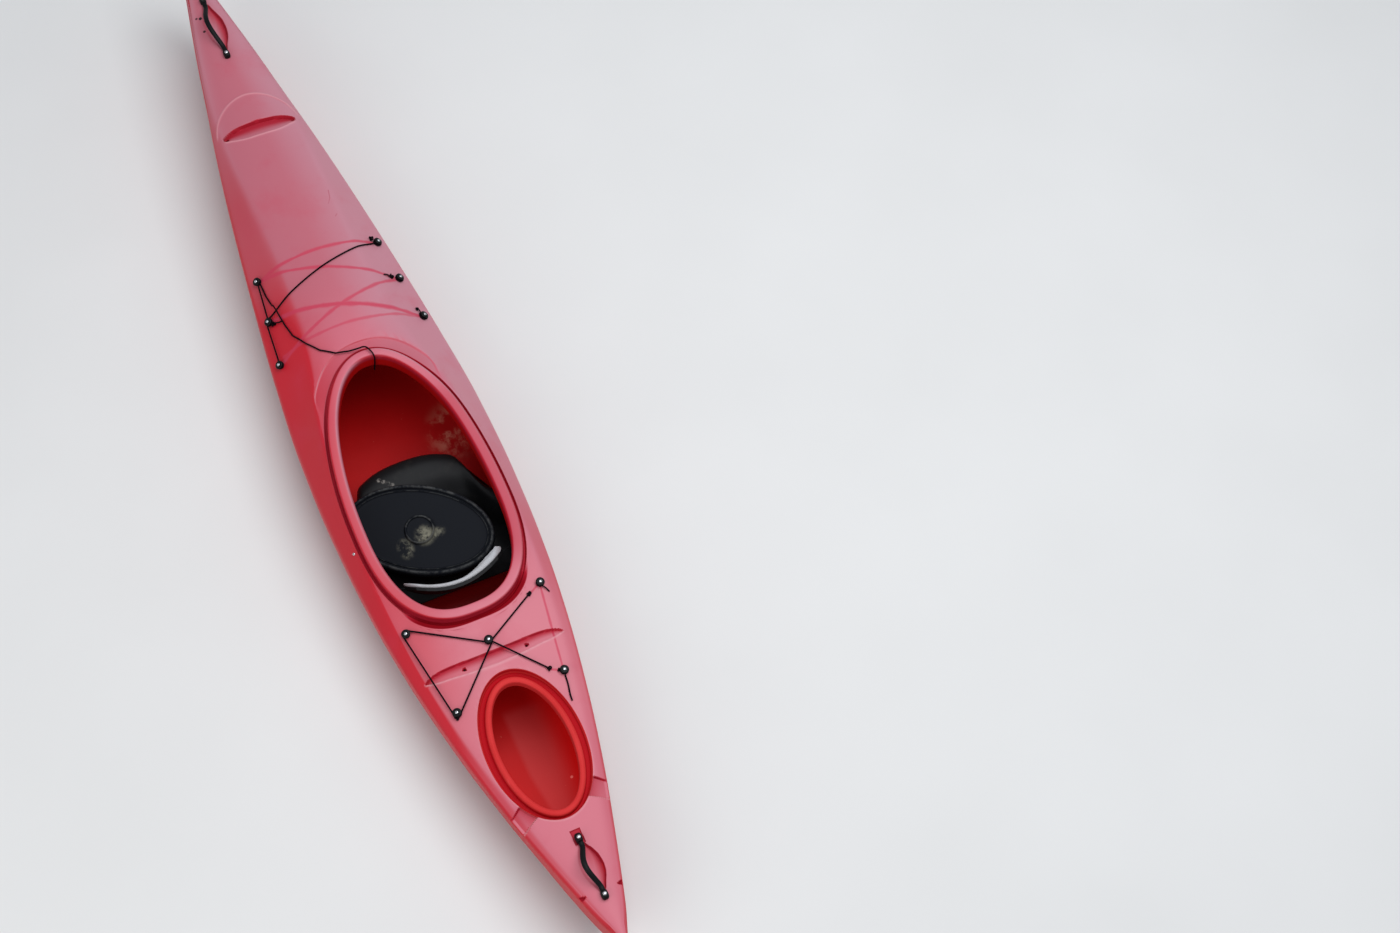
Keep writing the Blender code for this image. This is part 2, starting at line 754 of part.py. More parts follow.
def buildStrap(label, side):
    """A strap from the hanger's inboard face, at the pivot, to the end of the backrest shell."""
    turn = Matrix.Rotation(-backLean, 3, "Y")
    first = hangerInnerAt(*backPivot) - strapGap - strapThickness / 2
    shellEnd = -backSetback - padThickness - fitGap - backThickness / 2
    endHeight = bandPoint(1, 0.5, 0).z
    path = (
        (strapWidth / 2, first, 0.0, strapWidth),
        (-strapWidth / 2, first - 0.001, 0.006, strapWidth),
        (shellEnd * 0.50, first - 0.022, endHeight * 0.48, strapWidth * 0.85),
        (shellEnd * 0.80, first - 0.050, endHeight * 0.80, strapWidth * 0.65),
        (shellEnd, backHalfWidth + fitGap + strapThickness, endHeight, strapWidth * 0.5),
        (shellEnd - 0.001, backHalfWidth + fitGap, endHeight, strapWidth * 0.4),
    )
    rings = []
    for i, (x, y, z, width) in enumerate(path):
        before, after = path[max(i - 1, 0)], path[min(i + 1, len(path) - 1)]
        way = Vector((after[0] - before[0], after[1] - before[1], 0)).normalized()
        across = Vector((-way.y, way.x, 0)) * strapThickness / 2
        if i == len(path) - 1:
            across = Vector((strapThickness / 2, 0, 0))
        centre = Vector((x, y, z))
        up = Vector((0, 0, width / 2))
        ring = [centre + across + up, centre - across + up, centre - across - up, centre + across - up]
        ring = [turn @ Vector((p.x, side * p.y, p.z)) for p in ring]
        if i < 2:  # the first stretch lies flat on the hanger
            for p, depth in zip(ring, (strapThickness, 0.0, 0.0, strapThickness)):
                p.y = side * (hangerInnerAt(backPivot[0] + p.x, backPivot[1] + p.z) - strapGap - depth)
        rings.append(ring)
    return loft(f"backrest_strap_{label}", rings, "black", roughness=0.7, smooth=False)


def buildBackrest():
    pivot = bpy.data.objects.new("backrest_pivot", None)
    bpy.context.scene.collection.objects.link(pivot)
    pivot.location = (backPivot[0], 0.0, backPivot[1])
    start = padThickness + fitGap
    shell = buildBand("backrest_shell", start, start + backThickness, "black", 0.6)
    pad = buildBand("backrest_pad", 0.0, padThickness, "grey", 0.8)
    straps = [buildStrap(label, side) for label, side in (("port", 1), ("starboard", -1))]
    for item in [shell, pad] + straps:
        item.parent = pivot


def buildCover():
    """The oval hatch cover: rounded rim, sunk panel and a round boss, hollow below."""
    # Columns: share of the oval's half length and width (or None for the boss radius), height.
    profile = (
        (coverBossRadius * 0.4, 0.008), (coverBossRadius, 0.007), (coverBossRadius + 0.006, 0.002),
        (0.82, 0.002), (0.86, 0.003), (0.89, 0.009), (0.95, 0.012), (0.985, 0.009), (1.0, 0.002),
        (1.0, 0.012 - coverHeight), (0.965, 0.012 - coverHeight), (0.955, -0.002),
        (0.80, 0.002 - coverSkin), (coverBossRadius, 0.002 - coverSkin),
    )
    lift = bpy.data.objects.new("cover_lift", None)
    bpy.context.scene.collection.objects.link(lift)
    lift.location = coverPlace
    points = [(0.0, 0.0, 0.008)]
    for share, z in profile:
        for j in range(coverSegments):
            a = 2 * math.pi * j / coverSegments
            if share < 0.1:
                points.append((share * math.cos(a), share * math.sin(a), z))
            else:
                x, y = coverHalfWidth * share * math.cos(a), coverHalfLength * share * math.sin(a)
                points.append((x, y, z))
    points.append((0.0, 0.0, 0.002 - coverSkin))
    faces = []
    n = coverSegments
    for j in range(n):
        k = (j + 1) % n
        faces.append((0, 1 + j, 1 + k))
        for i in range(len(profile) - 1):
            a, b = 1 + i * n, 1 + (i + 1) * n
            faces.append((a + k, a + j, b + j, b + k))
        last = 1 + (len(profile) - 1) * n
        faces.append((last + k, last + j, len(points) - 1))
    cover = addMesh("hatch_cover", points, faces, "black", roughness=0.6)
    cover.parent = lift
    cover.matrix_local = Matrix.Rotation(coverTurn, 4, "Z") @ Matrix.Rotation(coverLean, 4, "Y")


def buildEyes():
    profile = (
        (0, 0), (eyeRadius * 0.85, 0), (eyeRadius * 0.85, 0.003), (eyeNeck, 0.005), (eyeNeck, 0.010),
        (eyeRadius, 0.0115), (eyeRadius * 0.8, eyeHeight), (0, eyeHeight),
    )
    for name, x, y in eyeRows:
        eye = turned(name, profile, 12, "black", roughness=0.5)
        normal = deckNormal(x, y)
        place(eye, Vector((x, y, deckHeight(x, y))) + normal * seamGap, normal)


def eyeAt(name):
    row = dict((r[0], r[1:]) for r in eyeRows)[name]
    x, y = row
    return Vector((x, y, deckHeight(x, y))) + deckNormal(x, y) * (fitGap + 0.0075)


def drape(a, b, steps, level=0.0):
    """Points from a to b, lifted where the deck is higher than the straight line."""
    found = []
    for i in range(1, steps):
        p = a.lerp(b, i / steps)
        floor = deckHeight(p.x, p.y) + (cordRadius + cordClear + level) / max(deckNormal(p.x, p.y).z, 0.5)
        found.append(Vector((p.x, p.y, max(p.z, floor))))
    return found


def cordTube(name, points, radius=None):
    curve = bpy.data.curves.new(name, "CURVE")
    curve.dimensions = "3D"
    curve.bevel_depth = radius or cordRadius
    curve.bevel_resolution = 2
    curve.use_fill_caps = True
    spline = curve.splines.new("POLY")
    spline.points.add(len(points) - 1)
    for slot, p in zip(spline.points, points):
        slot.co = (*p, 1.0)
    made = bpy.data.objects.new(name, curve)
    bpy.context.scene.collection.objects.link(made)
    curve.materials.append(material(name, colours["black"], 0.8))
    return made


def around(centre, before, after, level=0.0):
    """Points round the far side of an eye's neck, from the side of before to the side of after."""
    reach = eyeNeck + cordRadius + fitGap
    axis = deckNormal(centre.x, centre.y)
    into = (centre - before).normalized()
    out = (after - centre).normalized()
    away = (into - out).normalized()
    away = (away - axis * away.dot(axis)).normalized()
    side = axis.cross(away)
    turnSign = 1.0 if side.dot(out) > 0 else -1.0
    found = []
    for angle in (-75, -40, 0, 40, 75):
        a = math.radians(angle) * turnSign
        found.append(centre + (away * math.cos(a) + side * math.sin(a)) * reach + axis * level)
    return found


def lacing(names, start, end, levels):
    """A cord led round the named eyes, from the point start to the point end."""
    stops = [start] + [eyeAt(n) for n in names] + [end]
    points = [start]
    last = start
    for i in range(1, len(stops) - 1):
        bend = around(stops[i], stops[i - 1], stops[i + 1], levels[i - 1])
        points += drape(last, bend[0], 16) + bend
        last = bend[-1]
    points += drape(last, end, 16) + [end]
    return points


def beside(name, toward, gap=0.0):
    """A point beside an eye's neck on the side of toward."""
    centre = eyeAt(name)
    axis = deckNormal(centre.x, centre.y)
    way = toward - centre
    way = (way - axis * way.dot(axis)).normalized()
    return centre + way * (eyeNeck + fitGap + gap)


def lying(x, y, above=0.0):
    """A cord's middle at x and y, on the deck or above it."""
    return Vector((x, y, deckHeight(x, y) + (cordRadius + cordClear) / max(deckNormal(x, y).z, 0.5) + above))


def evenly(points, gap):
    """The line through the points, with a point every gap or so."""
    found = [points[0]]
    for a, b in zip(points, points[1:]):
        steps = max(1, round((b - a).length / gap))
        found += [a.lerp(b, (i + 1) / steps) for i in range(steps)]
    return found


def over(p, below):
    """p lifted to pass over the cord below, where that runs under it."""
    for a, b in zip(below, below[1:]):
        run = Vector((b.x - a.x, b.y - a.y))
        share = min(1.0, max(0.0, (Vector((p.x, p.y)) - Vector((a.x, a.y))).dot(run) / run.length_squared))
        near = a.lerp(b, share)
        away = math.hypot(p.x - near.x, p.y - near.y) / (cordRadius * slackSpread)
        if away < 1:
            p.z = max(p.z, near.z + (cordRadius * 2 + cordClear) * (1 - away**4))
    return p


def slackPath(below):
    """From the first port eye along the deck, over the taut cord and the coaming's lip, and down inside."""
    plan = evenly([Vector((x, y, 0)) for x, y in slackRows], cordRadius * slackStep)
    points = [over(lying(p.x, p.y), below) for p in plan]
    return points + evenly([points[-1]] + [Vector(row) for row in slackEndRows], cordRadius * slackStep)[1:]


def buildCords():
    start = beside("eye_starboard_1", eyeAt("eye_port_2"))
    end = beside("eye_port_3", eyeAt("eye_port_2"))
    taut = lacing(["eye_port_2"], start, end, [0.0])
    cordTube("foredeck_cord", taut)
    a = beside("eye_port_1", eyeAt("eye_port_2"))
    b = beside("eye_port_2", eyeAt("eye_port_1"), cordPassing - eyeNeck)
    cordTube("foredeck_short_cord", [a] + drape(a, b, 12) + [b])
    first, last = (Vector((x, y, deckHeight(x, y) + aftCordRise)) for x, y in aftCordEnds)
    end = beside("eye_centre", last, 0.004)
    cordTube("aftdeck_cord", lacing(["eye_centre", "eye_port_4", "eye_port_5"], first, end, [0.0, 0.0, 0.0]))
    a = beside("eye_centre", last, cordPassing - eyeNeck)
    cordTube("aftdeck_short_cord", [a] + drape(a, last, 12) + [last])
    cordTube("slack_cord", slackPath(taut))
    tail = [lying(x, y, fitGap - cordClear) for x, y in tailRows]
    cordTube("tail_cord", evenly(tail, cordRadius * slackStep))


def gripPoints(front, rear, count=17):
    """A strap that leaves each bracket level, then bows up off the deck and over to port."""
    found = []
    for i in range(count):
        t = i / (count - 1)
        x = front + (rear - front) * t
        bow = math.sin(math.pi * min(max((t - 0.06) / 0.88, 0.0), 1.0)) ** 1.3
        up = fitGap + bracketHeight / 2 + gripRise * bow
        found.append((x, gripSwing * bow, deckHeight(x, 0.0) + up))
    return found


def buildHandles():
    for name, front, rear in handleRows:
        for label, x, way in (("front", front, -1), ("rear", rear, 1)):
            size = (bracketLength, bracketWidth, bracketHeight)
            block = box(f"{name}_bracket_{label}", size, "black", 0.003)
            normal = deckNormal(x, 0.0)
            place(block, Vector((x, 0, deckHeight(x, 0.0))) + normal * (bracketHeight / 2 + fitGap), normal)
        clear = math.copysign(bracketLength / 2 + bracketGap, rear - front)
        cordTube(f"{name}_grip", gripPoints(front + clear, rear - clear), gripRadius)


def railPoint(x, inset):
    y = hullHalfWidth(x, railLevel - railHeight / 2, wall + fitGap) - inset
    return y


def buildFootBraces():
    for label, side in (("port", 1), ("starboard", -1)):
        a = Vector((railRear, side * railPoint(railRear, railDepth / 2), railLevel))
        b = Vector((railFront, side * railPoint(railFront, railDepth / 2), railLevel))
        way = (b - a).normalized()
        rail = box(f"foot_rail_{label}", ((b - a).length, railDepth, railHeight), "black", roughness=0.5)
        out = Vector((-way.y, way.x, 0)) * side
        place(rail, (a + b) / 2, (0, 0, 1), way)
        pivot = bpy.data.objects.new(f"pedal_slide_{label}", None)
        bpy.context.scene.collection.objects.link(pivot)
        pivot.location = (a + b) / 2
        size = (pedalThickness, pedalWidth, pedalHeight)
        pedal = box(f"foot_pedal_{label}", size, "black", 0.003, roughness=0.5)
        pedal.parent = pivot
        reach = railDepth / 2 + pedalGap + pedalWidth / 2
        pedal.location = -out * reach + Vector((0, 0, pedalLift))
        pedal.rotation_euler = (0, 0, math.atan2(way.y, way.x))


def main():
    clearScene()
    buildHull()
    buildDeck()
    buildCoaming()
    buildHatchRim()
    buildBulkhead()
    buildSeat()
    buildHangers()
    buildBackrest()
    buildCover()
    buildEyes()
    buildCords()
    buildHandles()
    buildFootBraces()


main()
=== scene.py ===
import math

import bmesh
import bpy
import numpy as np
from mathutils import Matrix, Vector


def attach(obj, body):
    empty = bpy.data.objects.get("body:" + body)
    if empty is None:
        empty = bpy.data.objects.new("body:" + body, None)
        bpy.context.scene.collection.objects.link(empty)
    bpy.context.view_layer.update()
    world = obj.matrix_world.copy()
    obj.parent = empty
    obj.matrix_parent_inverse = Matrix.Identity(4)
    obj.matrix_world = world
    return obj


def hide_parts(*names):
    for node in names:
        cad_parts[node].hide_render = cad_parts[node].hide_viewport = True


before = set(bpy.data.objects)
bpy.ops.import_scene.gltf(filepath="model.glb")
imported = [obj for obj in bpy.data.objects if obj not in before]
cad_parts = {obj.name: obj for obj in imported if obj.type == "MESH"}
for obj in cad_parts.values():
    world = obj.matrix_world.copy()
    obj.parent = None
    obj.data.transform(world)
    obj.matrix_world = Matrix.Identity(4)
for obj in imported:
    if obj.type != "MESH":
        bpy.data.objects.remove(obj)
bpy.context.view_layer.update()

boat = "boat"

# Boat: +X to the bow, +Y to port, +Z up, in metres. The form repeats the sections of the frame
boatForm = {
    "length": 3.85,
    "beam": 0.618,
    "sheer": 0.206,
    "wall": 0.005,
    "keelStrip": 0.03,
    "ridgeSoftness": 0.0035,
    "edgeRound": 0.011,
}
# along: share of half the length; beam: share of half the beam; the rest as heights in metres or shares
sectionColumns = ("along", "beam", "rise", "keel", "full", "ridge", "ridgeUp", "crownUp")
sectionRows = np.array((
    (-1.000, 0.039, 0.046, 0.205, 2.0, 0.60, 0.009, 0.012),
    (-0.987, 0.071, 0.044, 0.150, 2.0, 0.64, 0.011, 0.014),
    (-0.956, 0.146, 0.039, 0.085, 2.0, 0.68, 0.012, 0.017),
    (-0.904, 0.246, 0.032, 0.042, 2.1, 0.72, 0.014, 0.022),
    (-0.842, 0.359, 0.024, 0.022, 2.2, 0.77, 0.017, 0.026),
    (-0.743, 0.528, 0.014, 0.010, 2.4, 0.82, 0.020, 0.032),
    (-0.613, 0.712, 0.005, 0.003, 2.6, 0.85, 0.023, 0.039),
    (-0.468, 0.867, 0.000, 0.000, 2.8, 0.865, 0.028, 0.050),
    (-0.364, 0.942, 0.000, 0.000, 2.8, 0.86, 0.042, 0.072),
    (-0.260, 0.984, 0.002, 0.000, 2.8, 0.84, 0.064, 0.095),
    (-0.156, 1.000, 0.005, 0.000, 2.8, 0.79, 0.086, 0.118),
    (-0.052, 0.987, 0.009, 0.000, 2.8, 0.73, 0.104, 0.135),
    (0.104, 0.913, 0.016, 0.000, 2.7, 0.59, 0.096, 0.136),
    (0.260, 0.806, 0.030, 0.000, 2.6, 0.555, 0.089, 0.116),
    (0.442, 0.660, 0.048, 0.001, 2.4, 0.67, 0.064, 0.090),
    (0.551, 0.557, 0.062, 0.005, 2.3, 0.79, 0.038, 0.067),
    (0.660, 0.437, 0.077, 0.015, 2.2, 0.90, 0.017, 0.047),
    (0.753, 0.337, 0.090, 0.034, 2.1, 0.90, 0.014, 0.038),
    (0.842, 0.230, 0.102, 0.068, 2.0, 0.88, 0.012, 0.030),
    (0.914, 0.139, 0.113, 0.116, 2.0, 0.85, 0.010, 0.024),
    (0.966, 0.078, 0.123, 0.190, 2.0, 0.80, 0.008, 0.018),
    (0.990, 0.049, 0.128, 0.255, 2.0, 0.70, 0.007, 0.014),
    (1.000, 0.029, 0.130, 0.312, 2.0, 0.60, 0.006, 0.010),
))


def columnSlopes(xs, ys):
    steps = np.diff(xs)
    rates = np.diff(ys) / steps
    found = np.zeros(len(xs))
    found[0], found[-1] = rates[0], rates[-1]
    for i in range(1, len(xs) - 1):
        if rates[i - 1] * rates[i] > 0:  # a monotone curve never overshoots its rows
            a, b = 2 * steps[i] + steps[i - 1], steps[i] + 2 * steps[i - 1]
            found[i] = (a + b) / (a / rates[i - 1] + b / rates[i])
    return found


sectionSlopes = {
    name: columnSlopes(sectionRows[:, 0], sectionRows[:, i]) for i, name in enumerate(sectionColumns)
}


def throughRows(rows, value, slopes=None):
    # The smooth line through the rows, which never overshoots them
    rows = np.asarray(rows, float)
    xs, ys = rows[:, 0], rows[:, 1]
    slopes = columnSlopes(xs, ys) if slopes is None else slopes
    t = np.clip(value, xs[0], xs[-1])
    i = np.clip(np.searchsorted(xs, t) - 1, 0, len(xs) - 2)
    h = xs[i + 1] - xs[i]
    u = (t - xs[i]) / h
    bend = h * u * (1 - u) * ((1 - u) * slopes[i] - u * slopes[i + 1])
    return ys[i] + (ys[i + 1] - ys[i]) * (u * u * (3 - 2 * u)) + bend


def section(name, x):
    rows = sectionRows[:, (0, sectionColumns.index(name))]
    return throughRows(rows, np.asarray(x, float) / (boatForm["length"] / 2), sectionSlopes[name])


def halfBeam(x):
    return boatForm["beam"] / 2 * section("beam", x)


def sheer(x):
    return boatForm["sheer"] + section("rise", x)


def smooth(low, high, value):
    t = np.clip((np.asarray(value, float) - low) / (high - low), 0.0, 1.0)
    return t * t * (3 - 2 * t)


def deckPlain(x, y):
    y = np.abs(y)
    b, ridgeZ, crownZ = halfBeam(x), section("ridgeUp", x), section("crownUp", x)
    ridgeY = b * section("ridge", x)
    facet = ridgeZ * (b - y) / (b - ridgeY)
    middle = crownZ - (crownZ - ridgeZ) * (y / ridgeY) ** 1.8
    low = np.minimum(facet, middle)
    softness = boatForm["ridgeSoftness"]
    soft = low - softness * np.log1p(np.exp(-np.abs(facet - middle) / softness))
    edge = np.clip((b - y) / (4 * softness), 0.0, 1.0)
    return sheer(x) + low + (soft - low) * edge


# Moulded forms of the deck. A slot's rows: distance from the middle line, its aft edge, its fore edge
bowSlot = {
    "rows": (
        (0.0, 1.0668, 1.1318), (0.045, 1.0695, 1.1316), (0.085, 1.0800, 1.1300), (0.105, 1.0890, 1.1260),
        (0.118, 1.0945, 1.1215), (0.1265, 1.1010, 1.1175),
    ),
    "holes": ((1.106, 0.1155, 0.0062), (1.106, -0.1155, 0.0036)),
    "red": (0.08, 0.70), "depth": 0.019, "edge": 0.0030, "lip": 0.0018,
}
aftSlot = {
    "rows": (
        (0.0, -1.0030, -0.9570), (0.060, -1.0003, -0.9552), (0.110, -0.9955, -0.9530),
        (0.150, -0.9900, -0.9512), (0.185, -0.9865, -0.9545), (0.210, -0.9810, -0.9610),
        (0.228, -0.9745, -0.9715),
    ),
    "holes": ((-0.9775, 0.101, 0.0050), (-0.9775, -0.101, 0.0050)),
    "red": (0.25, 0.95), "depth": 0.012, "edge": 0.0030, "lip": 0.0020,
}
halfMoon = {"centre": 1.100, "reach": 0.150, "halfWidth": 0.146, "line": 0.0030, "height": 0.0022}
coamingBand = {
    "first": -0.07, "last": 0.05, "inner": 0.047, "fore": 0.032, "foreDepth": 0.0045, "aft": 0.008,
    "aftDepth": 0.0060, "aftFirst": -0.700, "aftLast": -0.790, "edge": 0.006, "margin": 0.010, "rows": 28,
    "skin": 0.004,
}
# Rows: place along the boat, reach to starboard there. The wall is crisp there and the floor runs out to port
fingerWells = (
    # red: how far the darker red reaches across the floor, more in the bow well, partly painted shade as that
    # well lies in shade
    {"depth": 0.018, "red": 0.66, "rows": (
        (1.440, 0.0), (1.450, 0.0085), (1.478, 0.018), (1.507, 0.0300), (1.531, 0.0365), (1.559, 0.0395),
        (1.588, 0.0385), (1.6165, 0.0305), (1.642, 0.0205), (1.664, 0.0125), (1.672, 0.0),
    )},
    {"depth": 0.017, "red": 0.50, "rows": (
        (-1.777, 0.0), (-1.768, 0.0125), (-1.7465, 0.0226), (-1.731, 0.0304), (-1.7146, 0.0360),
        (-1.695, 0.0384), (-1.672, 0.0361), (-1.648, 0.0285), (-1.6274, 0.0160), (-1.617, 0.0095),
        (-1.610, 0.0),
    )},
)
wellForm = {"port": 0.88, "edge": 0.0042}
# fore and aft: place at a distance from the middle line, and its slope
drain = {
    "fore": (-1.4415, 0.117, 0.68), "aft": (-1.493, 0.087, 0.53), "depth": 0.009, "edge": 0.0025,
    "line": 0.0024,
}
edgeNotches = {"x": -1.766, "halfLength": 0.0120, "reach": 0.020, "depth": 0.009}
blockRecess = {"first": -1.619, "last": -1.572, "halfWidth": 0.0160, "depth": 0.0045, "edge": 0.0016}
hatchRing = {
    "centre": -1.28, "halfLength": 0.215, "halfWidth": 0.108, "rim": 0.018, "rimSide": 0.021, "inner": 0.211,
    "shift": -0.004, "recessLength": 0.250, "recessWidth": 0.153, "depth": 0.020, "below": 0.004,
    "segments": 176,
}
cockpit = {
    "centre": -0.45, "forward": 0.535, "aft": 0.345, "halfWidth": 0.213, "forwardPower": 2.1, "aftPower": 2.5,
    "flange": 0.047, "segments": 264,
}


# Each form gives its rise and how fresh its red is, partly unfaded plastic and partly painted shade on walls
# and in holes, and some how pale their raised edges are, partly wear and partly painted highlight
def slotForm(x, y, slot):
    away, rows = np.abs(y), np.array(slot["rows"])
    aft, fore, end = throughRows(rows[:, (0, 1)], away), throughRows(rows[:, (0, 2)], away), rows[-1, 0]
    inside = smooth(end + 0.001, end - 0.002, away)
    way = np.clip((x - aft) / np.maximum(fore - aft, 0.001), 0.0, 1.0)
    rise = -slot["depth"] * way**1.3 * smooth(fore, fore - slot["edge"], x) * inside
    # The floor reddens toward the fore wall: partly unfaded plastic, partly painted shade on that wall
    keptRedAndShade = smooth(*slot["red"], way) * smooth(fore + 0.0012, fore - 0.0008, x) * inside
    # Holes are painted near black: painted shade
    for holeX, holeY, radius in slot["holes"]:
        hole = smooth(1.2, 0.8, np.hypot(x - holeX, y - holeY) / radius)
        rise, keptRedAndShade = rise - 0.012 * hole, np.maximum(keptRedAndShade, 1.5 * hole)
    # A pale line along the aft edge: partly wear, partly painted highlight
    lip = ridgeLine(x - aft, 0.0030) * smooth(end + 0.003, end - 0.004, away)
    return rise + slot["lip"] * lip, keptRedAndShade, lip


def cockpitReach(x, y):
    # Distance out from the cockpit's opening, near enough for the forms beside it
    dx, dy, wide = x - cockpit["centre"], np.abs(y), cockpit["halfWidth"]
    power = np.where(dx >= 0, cockpit["forwardPower"], cockpit["aftPower"])
    reach = np.where(dx >= 0, cockpit["forward"], cockpit["aft"])
    scaled = (np.abs(dx / reach) ** power + (dy / wide) ** power) ** (1 / power)
    slope = np.hypot(dx / reach**2, dy / wide**2) / np.maximum(np.hypot(dx / reach, dy / wide), 1e-6)
    return (scaled - 1) / np.maximum(slope, 1e-6)


def bandShares(x):
    f = coamingBand
    return smooth(f["first"], f["last"], x), smooth(f["aftFirst"], f["aftLast"], x)


def bandForm(x, y):
    # A shallow band outside the coaming: broad and pale ahead of it, narrow and deep red behind it, that deep
    # red partly unfaded plastic and partly painted shade in the groove
    f = coamingBand
    ahead, behind = bandShares(x)
    outer = f["inner"] + f["fore"] * ahead + f["aft"] * behind
    mask = smooth(outer, outer - f["edge"], cockpitReach(x, y))
    return -(f["foreDepth"] * ahead + f["aftDepth"] * behind) * mask, (0.30 * ahead + 1.8 * behind) * mask


def fingerWell(x, y, well):
    rows, red = well["rows"], well["red"]
    reach = throughRows(rows, x)
    side = reach / max(row[1] for row in rows)
    across = y + reach
    share = np.clip(across / (reach * (1 + wellForm["port"]) + 1e-6), 0.0, 1.0)
    wall = smooth(0.0, wellForm["edge"], across) * (reach > 0.0005)
    rise = -well["depth"] * np.sqrt(side) * wall * (1 - smooth(0.15, 1.0, share))
    foreEnd = smooth(0.3, 0.9, (x - rows[0][0]) / (rows[-1][0] - rows[0][0]))
    # Darker red on the starboard wall and at the fore end: partly unfaded plastic, partly painted shade
    keptRedAndShade = np.maximum(smooth(red, 0.06, share), (red + 0.15) * foreEnd * smooth(0.95, 0.35, share))
    # A soft darker band near the port edge of the floor: painted shade
    keptRedAndShade = np.maximum(keptRedAndShade, 0.35 * smooth(0.66, 0.90, share) * smooth(1.0, 0.94, share))
    keptRedAndShade = keptRedAndShade * smooth(-0.0012, 0.0008, across) * (reach > 0.0005)
    return rise, keptRedAndShade


def ridgeLine(distance, width):
    return np.exp(-(distance / width) ** 2)


def drainForm(x, y):
    d, h = drain, hatchRing
    fore, aft = (place - (np.abs(y) - away) * slope for place, away, slope in (d["fore"], d["aft"]))
    recess = np.hypot((x - h["centre"]) / h["recessLength"], y / h["recessWidth"])
    outside = smooth(0.98, 1.02, recess)
    runs = smooth(fore + d["edge"], fore, x) * smooth(aft - d["edge"], aft, x) * outside
    # A dark red line along the fore edge and a darker floor near the recess: partly unfaded, partly painted
    # shade. A pale line along the aft edge and round the recess: partly wear, partly painted highlight
    keptRedAndShade = ridgeLine(x - fore - 0.0008, d["line"]) * outside + 0.60 * runs * smooth(1.30, 1.0, recess)
    worn = ridgeLine(x - aft + 0.0016, d["line"]) * outside
    rim = ridgeLine((recess - 1.008) * 0.2, 0.0022) * (0.25 + 0.55 * smooth(-1.25, -1.45, x))
    return -d["depth"] * runs, 1.2 * keptRedAndShade, np.maximum(worn, rim * (1 - runs))


def deckForms(x, y):
    # Rise, fresh red with painted shade, and pale edges with painted highlight, of all the forms together
    rise, keptRedAndShade = bandForm(x, y)
    worn = np.zeros(np.shape(rise))
    for slot in (bowSlot, aftSlot):
        more, red, edge = slotForm(x, y, slot)
        rise, keptRedAndShade, worn = rise + more, np.maximum(keptRedAndShade, red), np.maximum(worn, edge)
    m = halfMoon
    reach = np.hypot((x - m["centre"]) / m["reach"], y / m["halfWidth"])
    # A raised line round the half moon, painted pale: partly wear, partly painted highlight
    moon = ridgeLine((reach - 1.0) * m["reach"], m["line"]) * smooth(0.015, 0.045, x - m["centre"])
    rise, worn = rise + m["height"] * moon, np.maximum(worn, 0.75 * moon)
    for well in fingerWells:
        more, red = fingerWell(x, y, well)
        rise, keptRedAndShade = rise + more, np.maximum(keptRedAndShade, red)
    more, red, edge = drainForm(x, y)
    rise, keptRedAndShade, worn = rise + more, np.maximum(keptRedAndShade, red), np.maximum(worn, edge)
    # Notches at the stern edge, painted near black: painted shade
    n, away = edgeNotches, np.abs(y)
    narrow = n["halfLength"] * np.clip((away - halfBeam(x) + n["reach"]) / n["reach"], 0.0, 1.0)
    notch = smooth(-0.0005, 0.0020, narrow - np.abs(x - n["x"])) * (narrow > 0)
    rise, keptRedAndShade = rise - n["depth"] * notch, np.maximum(keptRedAndShade, 1.5 * notch)
    # The recess under the stern handle's front block takes the darker red: partly unfaded, partly painted
    # shade on its fore wall
    r = blockRecess
    box = smooth(r["last"], r["last"] - r["edge"], x) * smooth(r["first"], r["first"] + r["edge"], x)
    box = box * smooth(r["halfWidth"], r["halfWidth"] - r["edge"], away)
    return rise - r["depth"] * box, np.maximum(keptRedAndShade, box), worn


def deckHeight(x, y):
    return deckPlain(x, y) + deckForms(x, y)[0]


def deckNormal(x, y):
    e = 0.004
    dx = (deckPlain(x + e, y) - deckPlain(x - e, y)) / (2 * e)
    dy = (deckPlain(x, y + e) - deckPlain(x, y - e)) / (2 * e)
    return Vector((-dx, -dy, 1.0)).normalized()


# Camera at the photograph's place, with its frame of 1400 by 933 pixels
photoCamera = {
    "place": (-3.1588, 0.8408, 5.9019),
    "right": (-0.4265, -0.9010, 0.0789),
    "ahead": (0.3938, -0.2636, -0.8806),
    "lens": 2000 / 1400 * 36.0,
}


def makeCamera():
    made = bpy.data.cameras.new("photoCamera")
    made.lens = photoCamera["lens"]
    made.clip_end = 60
    item = bpy.data.objects.new("photoCamera", made)
    bpy.context.scene.collection.objects.link(item)
    right, ahead = Vector(photoCamera["right"]).normalized(), Vector(photoCamera["ahead"]).normalized()
    right = (right - ahead * right.dot(ahead)).normalized()
    up = right.cross(ahead)
    turn = Matrix((right, up, -ahead)).transposed().to_4x4()
    item.matrix_world = Matrix.Translation(photoCamera["place"]) @ turn
    bpy.context.scene.camera = item


# Shader helpers. Sums, differences and products of values become nodes
class Value:
    def __init__(self, socket):
        self.socket = socket
        self.tree = socket.id_data

    def __add__(self, other):
        return combine("ADD", self, other)

    def __sub__(self, other):
        return combine("SUBTRACT", self, other)

    def __rsub__(self, other):
        return combine("SUBTRACT", other, self)

    def __mul__(self, other):
        return combine("MULTIPLY", self, other)

    def __truediv__(self, other):
        return combine("DIVIDE", self, other)

    def clamped(self):
        self.socket.node.use_clamp = True
        return self


